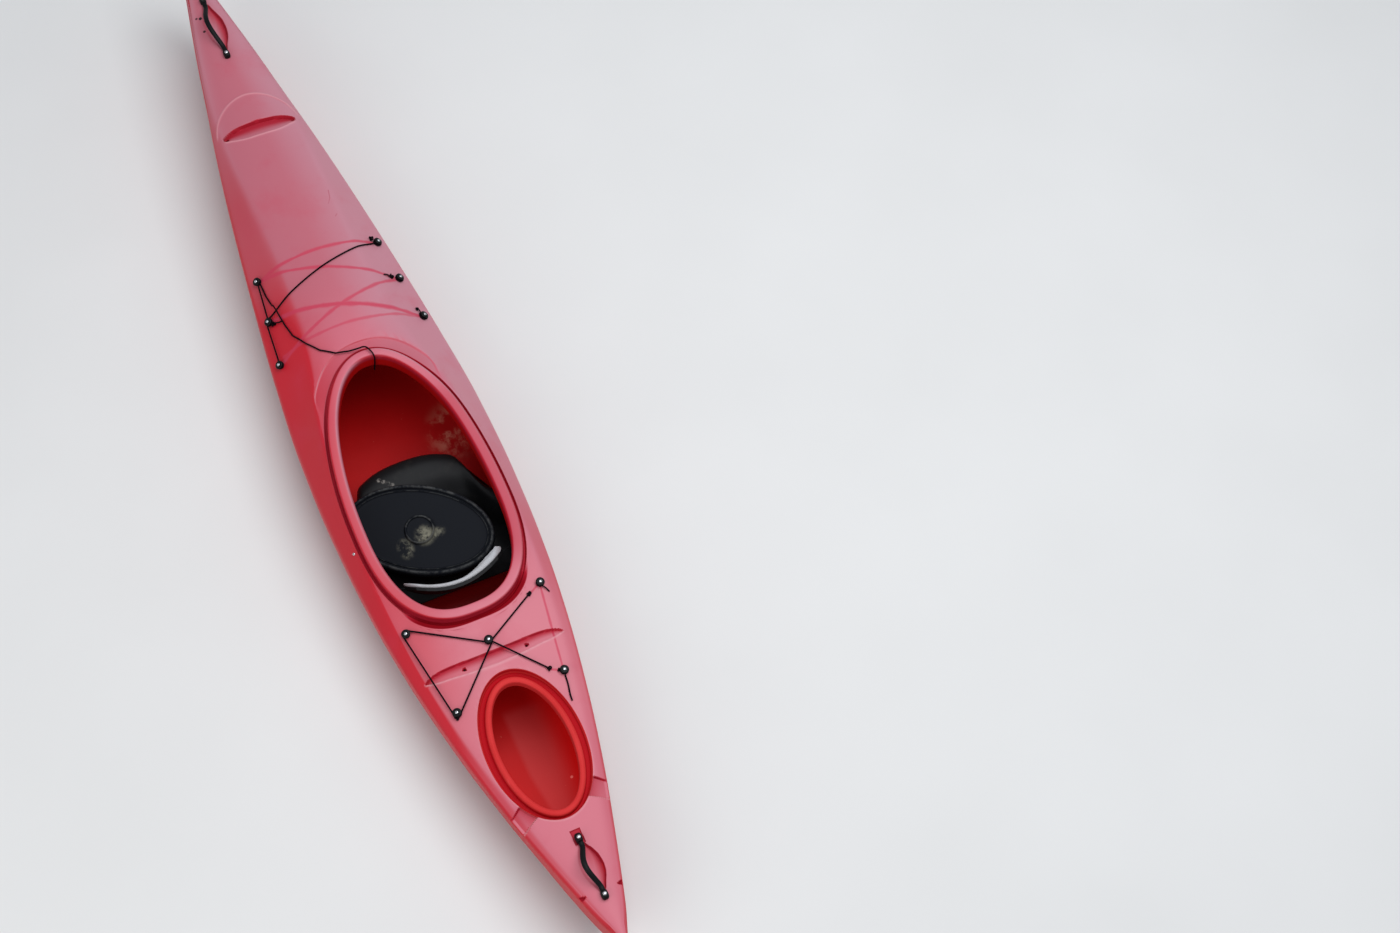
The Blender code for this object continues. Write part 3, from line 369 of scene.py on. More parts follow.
def fill(node, sockets):
    for key, value in sockets.items():
        if isinstance(value, Value):
            node.id_data.links.new(value.socket, node.inputs[key])
        else:
            node.inputs[key].default_value = value


def put(tree, kind, sockets, output=0, **settings):
    made = tree.nodes.new(kind)
    for name, value in settings.items():
        setattr(made, name, value)
    fill(made, sockets)
    return Value(made.outputs[output])


def combine(operation, a, b):
    tree = a.tree if isinstance(a, Value) else b.tree
    return put(tree, "ShaderNodeMath", {0: a, 1: b}, operation=operation)


def largest(values):
    found = values[0]
    for value in values[1:]:
        found = combine("MAXIMUM", found, value)
    return found


def vectors(operation, a, sockets, output="Vector"):
    return put(a.tree, "ShaderNodeVectorMath", {0: a, **sockets}, output, operation=operation)


def axis(vector, name):
    return put(vector.tree, "ShaderNodeSeparateXYZ", {0: vector}, name)


def ramp(value, low, high):
    sockets = {"Value": value, "From Min": low, "From Max": high}
    return put(value.tree, "ShaderNodeMapRange", sockets, interpolation_type="SMOOTHSTEP")


def noise(place, scale, detail, roughness=0.5):
    sockets = {"Vector": place, "Scale": scale, "Detail": detail, "Roughness": roughness}
    return put(place.tree, "ShaderNodeTexNoise", sockets, "Fac")


def bump(strength, distance, height):
    sockets = {"Strength": strength, "Distance": distance, "Height": height}
    return put(height.tree, "ShaderNodeBump", sockets, "Normal")


def attribute(place, name):
    return put(place.tree, "ShaderNodeAttribute", {}, "Fac", attribute_name=name)


def mixColour(share, a, b):
    return put(share.tree, "ShaderNodeMix", {0: share, 6: a, 7: b}, 2, data_type="RGBA")


def layers(colour, *coats):
    # Each coat: how much of it shows, and its colour
    for share, coat in coats:
        colour = mixColour(share, colour, coat)
    return colour


# Shared effects. Each takes its group's inputs by name and gives its outputs
def mouldGrain(given):
    height = noise(given["Place"], given["Scale"], 3.0) + noise(given["Place"], 5.0, 2.0) * 2.5
    return {"Normal": bump(given["Strength"], 0.001, height)}


def cordPrint(given):
    # How near the point is to a straight line on the deck, seen from above
    flat = vectors("MULTIPLY", given["Place"], {1: (1, 1, 0)})
    reach = vectors("SUBTRACT", flat, {1: given["From"]})
    run = vectors("SUBTRACT", given["To"], {1: given["From"]})
    along = vectors("DOT_PRODUCT", reach, {1: run}, "Value")
    share = (along / vectors("DOT_PRODUCT", run, {1: run}, "Value")).clamped()
    gap = vectors("DISTANCE", reach, {1: vectors("SCALE", run, {"Scale": share})}, "Value")
    edge = given["Width"] * (noise(given["Place"], 22.0, 2.0) + 0.15)
    return {"Mask": ramp(gap / edge, 1.5, 0.35)}


def scuffMarks(given):
    # Long thin scratches, and blotches where they crowd
    turn = {"Vector": given["Place"], "Rotation": (0, 0, 0.5), "Scale": (1, 14, 6)}
    streaks = noise(put(given["Place"].tree, "ShaderNodeMapping", turn), given["Scale"], 6.0)
    thin = ramp(streaks - (0.78 - given["Cover"] * 0.2), 0.0, 0.05)
    return {"Mask": thin * ramp(noise(given["Place"], 3.1, 3.0), 0.48, 0.62)}


def settledDust(given):
    # Sand and dust, thicker on faces that look up and in patches
    patches = noise(given["Place"], given["Scale"], 8.0, 0.7)
    mask = ramp(patches - (1.0 - given["Cover"]), -0.12, 0.16)
    return {"Mask": mask * ramp(axis(given["Normal"], "Z"), -0.1, 0.8)}


def clothWeave(given):
    sockets = {"Vector": given["Place"], "Scale": given["Scale"], "Distortion": 0.6}
    tree = given["Place"].tree
    x, y, z = (put(tree, "ShaderNodeTexWave", sockets, "Fac", bands_direction=way) for way in "XYZ")
    cross = (x + z) * y
    return {"Mask": cross, "Normal": bump(given["Strength"], 0.0006, cross)}


def group(build, inputs, outputs):
    tree = bpy.data.node_groups.new(build.__name__, "ShaderNodeTree")
    for way, labels in (("INPUT", inputs), ("OUTPUT", outputs)):
        for label in labels:
            kind = "Vector" if label in ("Place", "Normal", "From", "To") else "Float"
            tree.interface.new_socket(name=label, in_out=way, socket_type="NodeSocket" + kind)
    given = {socket.name: Value(socket) for socket in tree.nodes.new("NodeGroupInput").outputs}
    fill(tree.nodes.new("NodeGroupOutput"), build(given))
    return tree


shared = {
    "grain": group(mouldGrain, ("Place", "Scale", "Strength"), ("Normal",)),
    "print": group(cordPrint, ("Place", "From", "To", "Width"), ("Mask",)),
    "scuffs": group(scuffMarks, ("Place", "Scale", "Cover"), ("Mask",)),
    "dust": group(settledDust, ("Place", "Normal", "Scale", "Cover"), ("Mask",)),
    "weave": group(clothWeave, ("Place", "Scale", "Strength"), ("Mask", "Normal")),
}


def use(effect, place, output="Mask", **values):
    return put(place.tree, "ShaderNodeGroup", {"Place": place, **values}, output, node_tree=shared[effect])


def grain(place, scale, strength):
    return use("grain", place, "Normal", Scale=scale, Strength=strength)


def spots(place, rows, outer=1.1, inner=0.25):
    # Soft round marks; rows: middle, stretch and strength
    marks = []
    for centre, stretch, strength in rows:
        reach = vectors("MULTIPLY", vectors("SUBTRACT", place, {1: centre}), {1: stretch})
        marks.append(ramp(vectors("LENGTH", reach, {}, "Value"), outer, inner) * strength)
    return largest(marks)


def lines(place, rows):
    # Straight marks seen from above; rows: from, to, half width, strength
    return largest([
        use("print", place, From=(*start, 0), To=(*end, 0), Width=width) * strength
        for start, end, width, strength in rows
    ])


def mottled(broad, p):
    # Broad soft patches of a paint's two tones
    return mixColour(ramp(broad, 0.3, 0.7), p["deep"], p["fresh"])


def newMaterial(name):
    made = bpy.data.materials.new(name)
    made.use_nodes = True
    tree = made.node_tree
    place = put(tree, "ShaderNodeTexCoord", {}, "Object")
    return made, place, put(tree, "ShaderNodeNewGeometry", {}, "Normal")


def finish(made, colour, rough, normal, specular=0.5, **values):
    shader = made.node_tree.nodes["Principled BSDF"]
    fill(shader, {"Base Color": colour, "Roughness": rough, "Normal": normal, "Specular IOR Level": specular})
    fill(shader, {key.replace("_", " "): value for key, value in values.items()})
    return made


# Cord prints left in the fade: from, to, half width, strength
cordPrints = (
    ((0.548, -0.205), (0.548, 0.205), 0.0100, 0.80),
    ((0.392, -0.222), (0.548, 0.205), 0.0095, 0.80),
    ((0.392, -0.222), (0.230, 0.243), 0.0095, 0.75),
    ((0.230, -0.243), (0.392, 0.222), 0.0125, 0.85),
    ((0.230, -0.243), (0.250, 0.225), 0.0085, 0.60),
    ((-0.803, -0.219), (-1.098, -0.173), 0.0055, 0.85),
    ((-0.828, -0.174), (-0.803, -0.219), 0.0055, 0.85),
    ((-1.077, -0.134), (-1.098, -0.173), 0.0055, 0.85),
)
# Fine scratches: from, to, half width, strength
scratches = (
    ((0.7735, -0.1243), (0.7380, -0.1170), 0.0022, 0.55),
    ((0.7380, -0.1170), (0.7165, -0.1040), 0.0022, 0.45),
    ((0.6690, -0.1160), (0.6600, -0.1080), 0.0024, 0.40),
)
# Small dark nicks beside the bow handle, and the drain holes in the slots painted near black as painted
# shade: place, radius, strength
nicksAndHoleShade = (
    (1.6266, 0.0440, 0.0046, 0.85), (1.6191, 0.0315, 0.0062, 1.0), (1.5609, 0.0370, 0.0052, 0.95),
    (1.1060, 0.1155, 0.0066, 1.0), (1.1060, -0.1155, 0.0040, 0.9),
    (-0.9775, 0.1010, 0.0044, 0.9), (-0.9775, -0.1010, 0.0044, 0.9),
)
deckPaint = {
    "fresh": (0.50, 0.012, 0.024, 1),
    "faded": (0.55, 0.128, 0.170, 1),
    "foreFadedAndShaded": (0.455, 0.122, 0.158, 1),
    "lilac": (0.490, 0.205, 0.250, 1),
    "print": (0.50, 0.035, 0.075, 1),
    "sunk": (0.40, 0.014, 0.030, 1),
    "deep": (0.17, 0.0015, 0.003, 1),
    "scuff": (0.36, 0.045, 0.070, 1),
    "pale": (0.64, 0.275, 0.305, 1),
    "sand": (0.30, 0.170, 0.110, 1),
    "bleachedAndLit": (0.60, 0.190, 0.225, 1),
    "nick": (0.020, 0.004, 0.006, 1),
    "roughness": 0.46,
    "specular": 0.28,
}


def deckFadeAndPaintedLight(place, normal):
    # Paler on the level deck and to starboard, redder on the port flank at the cockpit: partly sun fading,
    # partly painted shade on faces that look to port, away from the light. The lilac tint on faces that look
    # to starboard and on the bow's port facets is partly fading, partly a painted sky reflection
    x, side = axis(place, "X"), axis(normal, "Y")
    broad = noise(place, 1.7, 4.0)
    portShadeAndLessFade = ramp(side, 0.36, 0.52) * (ramp(x, 0.80, 0.20) * 0.46 + 0.04)
    besideCockpit = ramp(x, 0.55, 0.05) * ramp(x, -1.60, -0.75) * ramp(axis(place, "Y"), 0.03, 0.20)
    fadeAndShade = ramp(axis(normal, "Z"), 0.55, 0.98) * 0.80 + 0.18 - portShadeAndLessFade - besideCockpit * 0.60
    fadeAndShade = (fadeAndShade + (broad - 0.5) * 0.40).clamped()
    bow = ramp(side, 0.28, 0.48) * ramp(x, 0.80, 1.50)
    lilac = largest([ramp(side, 0.0, -0.42) * ramp(x, -1.2, -0.1), bow * 0.65])
    return fadeAndShade, (lilac * (broad * 0.5 + 0.65)).clamped(), broad


def deckPlastic():
    p = deckPaint
    made, place, normal = newMaterial("deckPlastic")
    fadeAndShade, lilac, broad = deckFadeAndPaintedLight(place, normal)
    x = axis(place, "X")
    # Faded pink, darker toward the bow: partly fading, partly painted shade, as the bow lies darker under the
    # light
    faded = mixColour(ramp(x, 0.10, 0.50), p["faded"], p["foreFadedAndShaded"])
    # Paler aft deck: partly fading, partly painted light, as the stern lies brighter under the light
    bleachAndLight = ramp(x, -0.55, -0.95) * fadeAndShade * (0.55 - ramp(x, -1.15, -1.5) * 0.35)
    prints = lines(place, cordPrints) * ramp(axis(normal, "Z"), 0.2, 0.5)
    blush = ramp(noise(place, 6.0, 5.0, 0.6), 0.50, 0.75) * 0.22
    scuff = use("scuffs", place, Scale=2.4, Cover=0.35)
    pale = use("scuffs", place, Scale=9.0, Cover=0.2)
    sunk = attribute(place, "sunk")
    dark = [
        ((x, y, float(deckPlain(x, y))), (1 / size, 1 / size, 20.0), strength)
        for x, y, size, strength in nicksAndHoleShade
    ]
    colour = layers(
        mixColour(fadeAndShade, p["fresh"], faded),
        # Lilac tint: partly fading, partly a painted sky reflection
        (lilac, p["lilac"]),
        (bleachAndLight, p["bleachedAndLit"]),
        (prints, p["print"]),
        (blush, p["print"]),
        (scuff * 0.30, p["scuff"]),
        (pale * 0.18, p["pale"]),
        (lines(place, scratches), p["scuff"]),
        # Sunk forms take a fresher, darker red: partly unfaded plastic, partly painted shade on their walls.
        # Past 1 it turns near black: painted shade in the groove behind the coaming, in holes and notches and
        # along the drain's fore edge
        ((sunk * 0.92).clamped(), p["sunk"]),
        ((sunk - 1.0).clamped(), p["deep"]),
        # Pale lines on the forms' raised edges: partly wear, partly painted highlight
        (attribute(place, "worn") * 0.78, p["pale"]),
        # Near-black spots: dark nicks, and painted shade in the drain holes
        (spots(place, dark, 1.15, 0.75), p["nick"]),
    )
    rough = broad * 0.16 + (p["roughness"] - 0.08) + scuff * 0.2
    # Sunk forms are out of the sky's reflection
    shine = (1.0 - (sunk * 0.85).clamped()) * p["specular"]
    return finish(made, colour, rough, grain(place, 420.0, 0.10), shine)


hullPaint = {
    "fresh": (0.56, 0.016, 0.026, 1), "deep": (0.50, 0.009, 0.016, 1), "faded": (0.60, 0.075, 0.095, 1),
    "roughness": 0.44, "specular": 0.28,
}


def hullPlastic():
    # A paler belt below the edge, and scratches and sand along the bottom
    p = hullPaint
    made, place, _ = newMaterial("hullPlastic")
    x, height = axis(place, "X"), axis(place, "Z")
    broad = noise(place, 2.3, 4.0)
    belt = ramp(height, 0.10, 0.19) * 0.32 * ramp(x, -1.55, -1.15)
    worn = use("scuffs", place, Scale=4.0, Cover=0.6) * ramp(height, 0.16, 0.02)
    sand = use("dust", place, Normal=(0, 0, 1), Scale=5.0, Cover=0.36) * ramp(height, 0.10, 0.0)
    colour = layers(
        mottled(broad, p),
        (belt, p["faded"]),
        (worn * 0.6, deckPaint["pale"]),
        (sand * 0.45, deckPaint["sand"]),
    )
    rough = broad * 0.15 + (p["roughness"] - 0.07)
    return finish(made, colour, rough, grain(place, 380.0, 0.10), p["specular"])


insidePaint = {
    "fresh": (0.42, 0.0045, 0.0050, 1), "deep": (0.34, 0.0030, 0.0035, 1),
    "shade": (0.050, 0.0010, 0.0012, 1), "floor": (0.42, 0.034, 0.034, 1),
    "sand": (0.60, 0.220, 0.150, 1), "dot": (0.75, 0.35, 0.30, 1), "glow": (0.90, 0.008, 0.008, 1),
    "holdGlow": 0.19, "cockpitGlow": 0.022, "roughness": 0.42, "specular": 0.10,
    "smear": ((-0.092, -0.205, 0.02), (8.5, 12.0, 4.5), 1.0),
    "speck": ((-1.350, -0.094, 0.023), (200.0, 200.0, 20.0), 1.0),
}


def insidePlastic():
    # The bare inside of the shells. Aft of the bulkhead daylight comes through the plastic, most to starboard
    p = insidePaint
    made, place, _ = newMaterial("insidePlastic")
    x, y = axis(place, "X"), axis(place, "Y")
    broad = noise(place, 3.0, 4.0)
    aft = ramp(x, -0.915, -0.925)
    # Painted shade: the inside under the deck behind the seat, ahead of the bulkhead, is painted dark
    behind = ramp(x, -0.56, -0.72) * (1.0 - aft)
    # Painted light: a lit patch on the hold's floor, cut off ahead where the bulkhead's shadow falls
    bend = combine("MAXIMUM", -1.29 - x, 0.0) * 0.13
    floor = ramp(y + bend, 0.030, 0.008) * aft * ramp(x, -1.055, -1.095) * ramp(y, -0.13, -0.07)
    # One sandy smear on the starboard wall ahead of the seat, and a few specks
    smear = spots(place, [p["smear"]], 1.15, 0.2) * ramp(noise(place, 11.0, 7.0, 0.68), 0.43, 0.56)
    specks = ramp(noise(place, 70.0, 2.0), 0.74, 0.80) * 0.4
    colour = layers(
        mottled(broad, p),
        (behind * 0.80, p["shade"]),
        (floor, p["floor"]),
        (largest([smear * 0.90, specks]), p["sand"]),
        (spots(place, [p["speck"]], 1.1, 0.6), p["dot"]),
    )
    # Painted light: an emission glow, strongest aft and to starboard in the hold, and faint in the cockpit
    side = ramp(x, -1.05, -1.44) * 0.68 + 0.32 + ramp(y, -0.05, -0.14) * 0.45
    glow = aft * side * p["holdGlow"] + (1.0 - largest([aft, behind])) * p["cockpitGlow"]
    rough = broad * 0.15 + (p["roughness"] - 0.07)
    return finish(
        made, colour, rough, grain(place, 380.0, 0.10), p["specular"], Emission_Color=p["glow"],
        Emission_Strength=glow,
    )


rimPaint = {
    "fresh": (0.60, 0.036, 0.036, 1), "deep": (0.54, 0.026, 0.026, 1), "groove": (0.43, 0.004, 0.010, 1),
    "roughness": 0.50, "specular": 0.05,
}


def rimPlastic():
    p = rimPaint
    made, place, _ = newMaterial("hatchRimPlastic")
    broad = noise(place, 8.0, 4.0)
    colour = layers(
        mottled(broad, p),
        (attribute(place, "sunk"), p["groove"]),
        (use("scuffs", place, Scale=7.0, Cover=0.5) * 0.10, deckPaint["pale"]),
    )
    rough = broad * 0.12 + (p["roughness"] - 0.06)
    return finish(made, colour, rough, grain(place, 420.0, 0.08), p["specular"])


blackPaint = {"dust": (0.16, 0.14, 0.11, 1), "scuff": (0.09, 0.09, 0.09, 1), "mark": (0.30, 0.27, 0.24, 1)}
# A pale graze on the seat's raised front, as a row of small spots
seatMarks = tuple(
    ((-0.230 - 0.0105 * k, 0.094 - 0.0115 * k, 0.15), (115.0, 115.0, 10.0), 0.9 - 0.1 * k) for k in range(4)
)


def blackPlastic(name, tone, roughness, dusty, specular, grainStrength=0.12, grainScale=520.0, marks=()):
    p = blackPaint
    made, place, normal = newMaterial(name)
    broad = noise(place, 9.0, 5.0)
    dust = use("dust", place, Normal=normal, Scale=16.0, Cover=0.34) * dusty
    colour = layers(
        mixColour(broad, (tone * 0.7, tone * 0.7, tone * 0.75, 1), (tone * 1.3, tone * 1.3, tone * 1.4, 1)),
        (dust, p["dust"]),
        (use("scuffs", place, Scale=9.0, Cover=0.45) * 0.25, p["scuff"]),
    )
    if marks:
        streaks = ramp(noise(place, 60.0, 6.0, 0.7), 0.44, 0.60)
        colour = mixColour(spots(place, marks) * streaks, colour, p["mark"])
    rough = (broad * 0.2 + (roughness - 0.1) + dust * 0.3).clamped()
    return finish(made, colour, rough, grain(place, grainScale, grainStrength), specular)


coverPaint = {
    "deep": (0.0045, 0.0055, 0.008, 1), "fresh": (0.008, 0.009, 0.012, 1), "dust": (0.190, 0.180, 0.135, 1),
    "worn": (0.055, 0.056, 0.055, 1), "roughness": 0.50, "specular": 0.07,
}
# Dry sand on the cover: middle, stretch and strength
coverDust = (
    ((-0.484, 0.036, 0.19), (27.0, 27.0, 3.0), 1.0), ((-0.490, 0.000, 0.19), (44.0, 30.0, 3.0), 0.75),
    ((-0.500, 0.106, 0.19), (26.0, 34.0, 3.0), 1.0),
)


def coverRubber():
    # Black rubber, clean but for dry sand at the boss and one smeared patch beside it
    p = coverPaint
    made, place, _ = newMaterial("coverRubber")
    broad = noise(place, 9.0, 5.0)
    patches = ramp(noise(place, 30.0, 8.0, 0.7), 0.42, 0.60)
    mask = spots(place, coverDust) * patches
    colour = layers(
        mixColour(broad, p["deep"], p["fresh"]),
        (mask, p["dust"]),
        # Lighter grey on the crests of the rim, ridge and boss: partly wear, partly painted sheen
        (attribute(place, "worn") * patches, p["worn"]),
    )
    rough = (broad * 0.15 + p["roughness"] + mask * 0.3).clamped()
    return finish(made, colour, rough, grain(place, 700.0, 0.12), p["specular"])


clothPaint = {"stain": (0.16, 0.14, 0.12, 1), "roughness": 0.85, "specular": 0.06}


def wovenCloth(name, light, dark, scale, strength, dirt=0.3, sheen=0.0):
    p = clothPaint
    made, place, _ = newMaterial(name)
    weave = {"Scale": scale, "Strength": strength}
    stain = ramp(noise(place, 14.0, 6.0), 0.5, 0.72) * dirt
    colour = mixColour(stain, mixColour(use("weave", place, **weave), dark, light), p["stain"])
    normal = use("weave", place, "Normal", **weave)
    return finish(made, colour, p["roughness"], normal, p["specular"], Sheen_Weight=sheen)


def steel():
    made, place, _ = newMaterial("stainless")
    brushed = noise(place, 900.0, 2.0)
    colour = mixColour(brushed, (0.42, 0.42, 0.43, 1), (0.72, 0.72, 0.74, 1))
    return finish(made, colour, brushed * 0.2 + 0.16, grain(place, 900.0, 0.06), Metallic=1.0)


print("stage: materials")
paint = {
    "deck": deckPlastic(),
    "hull": hullPlastic(),
    "inside": insidePlastic(),
    "rim": rimPlastic(),
    "seat": blackPlastic("seatPlastic", 0.008, 0.50, 0.08, 0.15, marks=seatMarks),
    "rubber": coverRubber(),
    "fitting": blackPlastic("fittingPlastic", 0.0035, 0.42, 0.04, 0.13),
    "rubberStrap": blackPlastic("handleRubber", 0.004, 0.46, 0.04, 0.12, 0.10, 700.0),
    "pad": wovenCloth("backrestCloth", (0.53, 0.53, 0.545, 1), (0.36, 0.36, 0.37, 1), 420.0, 0.25, sheen=0.2),
    "webbing": wovenCloth(
        "strapWebbing", (0.016, 0.016, 0.017, 1), (0.004, 0.004, 0.005, 1), 300.0, 0.5, 0.08,
    ),
    "cord": wovenCloth("elasticCord", (0.007, 0.003, 0.005, 1), (0.002, 0.001, 0.002, 1), 260.0, 0.6, 0.02),
    "steel": steel(),
}


# Mesh helpers
def newObject(name, points, faces, material, smoothing):
    mesh = bpy.data.meshes.new(name)
    mesh.from_pydata([tuple(p) for p in points], [], [tuple(f) for f in faces])
    mesh.validate()
    if smoothing:
        mesh.shade_smooth()
        mesh.set_sharp_from_angle(angle=math.radians(smoothing))
    mesh.materials.append(paint[material])
    made = bpy.data.objects.new(name, mesh)
    bpy.context.scene.collection.objects.link(made)
    return made


def gridFaces(rows, columns, closeRows, closeColumns):
    r = np.arange(rows if closeRows else rows - 1)[:, None]
    c = np.arange(columns if closeColumns else columns - 1)[None, :]
    r2, c2 = (r + 1) % rows, (c + 1) % columns
    corners = (r * columns + c, r * columns + c2, r2 * columns + c2, r2 * columns + c)
    return np.stack([np.broadcast_to(k, (r.size, c.size)) for k in corners], -1).reshape(-1, 4).tolist()


def gridPart(rings, slot=0, closed=False):
    # Rings swept into a solid; the last ring meets the first, or else both ends are capped
    rings = np.asarray(rings, float)
    count, around = rings.shape[:2]
    faces = gridFaces(count, around, closed, True)
    if not closed:
        faces.append(tuple(reversed(range(around))))
        faces.append(tuple(range((count - 1) * around, count * around)))
    return rings.reshape(-1, 3), faces, slot


def ringObject(name, rings, material, closed=True, smoothing=40.0):
    points, faces, _ = gridPart(rings, closed=closed)
    made = newObject(name, points, faces, material, smoothing)
    outward(made)
    return made


def keepValues(item, name, values):
    item.data.attributes.new(name, "FLOAT", "POINT").data.foreach_set("value", values)


def faceRows(item, name):
    found = np.empty(len(item.data.polygons) * 3)
    item.data.polygons.foreach_get(name, found)
    return found.reshape(-1, 3)


def paintFaces(item, second):
    # The faces named by second take the inside's material
    item.data.materials.append(paint["inside"])
    item.data.polygons.foreach_set("material_index", second.astype(np.int32))


def outward(item):
    shape = bmesh.new()
    shape.from_mesh(item.data)
    bmesh.ops.recalc_face_normals(shape, faces=shape.faces)
    shape.to_mesh(item.data)
    shape.free()


def roundLine(points, steps, closed=True):
    # A smooth line through the points
    points = np.asarray(points, float)
    count = len(points)
    found = []
    for i in range(count if closed else count - 1):
        if closed:
            a, b, c, d = (points[(i + k) % count] for k in (-1, 0, 1, 2))
        else:
            a, b, c, d = (points[min(max(i + k, 0), count - 1)] for k in (-1, 0, 1, 2))
        for j in range(steps):
            t = j / steps
            bend = (2 * a - 5 * b + 4 * c - d) * t * t + (3 * b - a - 3 * c + d) * t**3
            found.append(0.5 * (2 * b + (c - a) * t + bend))
    if not closed:
        found.append(points[-1])
    return np.array(found)


def cutWith(target, cutter):
    step = target.modifiers.new("cut", "BOOLEAN")
    step.operation = "DIFFERENCE"
    step.solver = "EXACT"
    step.object = cutter
    bpy.context.view_layer.objects.active = target
    target.select_set(True)
    bpy.ops.object.modifier_apply(modifier=step.name)
    bpy.data.objects.remove(cutter, do_unlink=True)


def prism(outline):
    # An upright cutter that reaches from under the deck to above it
    rings = [[(x, y, z) for x, y in outline] for z in (0.1, 0.5)]
    return ringObject("cutter", rings, "deck", closed=False, smoothing=0)


# Plan outlines
def cockpitPoint(angle):
    c, s = np.cos(angle), np.sin(angle)
    power = np.where(c >= 0, cockpit["forwardPower"], cockpit["aftPower"])
    reach = np.where(c >= 0, cockpit["forward"], cockpit["aft"])
    x = cockpit["centre"] + reach * np.copysign(np.abs(c) ** (2 / power), c)
    return np.stack([x, cockpit["halfWidth"] * np.copysign(np.abs(s) ** (2 / power), s)], -1)


def evenly(points, count):
    # The closed line's points, spread evenly along it
    closedLine = np.vstack([points, points[:1]])
    along = np.concatenate([[0], np.cumsum(np.linalg.norm(np.diff(closedLine, axis=0), axis=1))])
    at = np.linspace(0, along[-1], count, endpoint=False)
    return np.stack([np.interp(at, along, closedLine[:, k]) for k in range(closedLine.shape[1])], -1)


cockpitAngles = np.linspace(0, 2 * math.pi, 4000, endpoint=False) + 0.0004
cockpitEdge = evenly(cockpitPoint(cockpitAngles), cockpit["segments"])


def cockpitLine(offset):
    along = np.roll(cockpitEdge, -2, axis=0) - np.roll(cockpitEdge, 2, axis=0)
    along /= np.linalg.norm(along, axis=1)[:, None]
    return cockpitEdge + offset * np.stack([along[:, 1], -along[:, 0]], -1)


def oval(halfLength, halfWidth, centre, segments):
    angle = 2 * math.pi * (np.arange(segments) + 0.5) / segments
    return np.stack([centre + halfLength * np.cos(angle), halfWidth * np.sin(angle)], -1)


# Shells: fine surfaces over the frame's hull and deck
shellMesh = {
    "coarse": 0.017,
    "fine": 0.0030,
    "finer": 0.0021,
    "deckInner": 46,
    "deckRidge": 7,
    "deckOuter": 16,
    "deckUnder": 44,
    "fillet": 5,
    "hullSteps": 30,
    "hullInside": 24,
    "inset": 0.004,
    "finest": (1.10, 1.13),
    # Fine stations lie between these places
    "zones": ((1.055, 1.262), (1.448, 1.668), (-0.998, -0.938), (-1.53, -1.425), (-1.790, -1.566)),
}


def shellStations():
    half = boatForm["length"] / 2
    marks, finest = sorted(shellMesh["zones"]), shellMesh["finest"]
    places = []
    x = -half
    while x < half:
        places.append(x)
        tip = min(half - x, x + half)
        step = min(shellMesh["coarse"], 0.0015 + 0.14 * tip)
        for first, last in marks:
            if first <= x <= last:
                step = shellMesh["finer" if finest[0] < x < finest[1] else "fine"]
            elif x < first:
                step = min(step, max(shellMesh["fine"], (first - x) * 0.5 + 0.001))
            else:
                step = min(step, shellMesh["fine"] + 0.5 * (x - last))
        x += step
    places[-1] = half if half - places[-1] < 0.001 else places[-1]
    if places[-1] < half:
        places.append(half)
    return np.array(places)


def filletRound(x):
    return np.minimum(boatForm["edgeRound"], 0.35 * halfBeam(x))


def hullAt(x, angle, inset=0.0):
    b = halfBeam(x) - inset
    s, k = sheer(x), section("keel", x) + inset
    strip = np.minimum(boatForm["keelStrip"], 0.35 * b)
    power = 2 / section("full", x)
    y = strip + (b - strip) * np.abs(np.cos(angle)) ** power
    z = s - (s - k) * np.abs(np.sin(angle)) ** power
    return y, z


def edgeCurve(x, t):
    # The rounded edge where deck meets hull: t from 0 on the deck to 1 on the hull
    r = filletRound(x)
    b, s = halfBeam(x), sheer(x)
    deckY = b - r
    deckZ = deckHeight(x, deckY)
    turn = np.arcsin(np.clip((r / (s - section("keel", x))) ** (section("full", x) / 2), 0, 1))
    hullY, hullZ = hullAt(x, turn)
    y = (1 - t) ** 2 * deckY + 2 * t * (1 - t) * b + t * t * hullY
    z = (1 - t) ** 2 * deckZ + 2 * t * (1 - t) * s + t * t * hullZ
    return y, z, turn


def deckHalfRing(x, side):
    m = shellMesh
    b = halfBeam(x)
    ridgeY = b * section("ridge", x)
    edge = b - filletRound(x)
    zone = np.minimum(0.009, np.minimum(0.2 * ridgeY, 0.3 * np.maximum(edge - ridgeY, 0.001)))
    inner = np.linspace(0, 1, m["deckInner"])[None, :] * (ridgeY - zone)[:, None]
    middle = (ridgeY - zone)[:, None] + np.linspace(0, 1, m["deckRidge"])[None, 1:] * (2 * zone)[:, None]
    beyond = (edge - ridgeY - zone)[:, None]
    outer = (ridgeY + zone)[:, None] + np.linspace(0, 1, m["deckOuter"])[None, 1:] * beyond
    y = np.concatenate([inner, middle, outer], axis=1)
    xs = np.broadcast_to(x[:, None], y.shape)
    z = deckHeight(xs, y * side)
    ts = np.linspace(0, 0.5, m["fillet"])[1:]
    roundY, roundZ, _ = edgeCurve(x[:, None], ts[None, :])
    return np.concatenate([y, roundY], 1) * side, np.concatenate([z, roundZ], 1)


def ringOf(x, y, z):
    return np.stack([np.broadcast_to(x[:, None], y.shape), y, z], -1)


def insideDepth(x, z, floor):
    # The shell's thickness, more where nothing shows, and nothing at its very edge
    hidden = smooth(0.78, 0.95, x) + smooth(-1.06, -1.12, x)
    depth = boatForm["wall"] + 0.022 * np.clip(hidden, 0, 1)
    return np.minimum(depth, 0.55 * np.maximum(z - floor, 0.0))


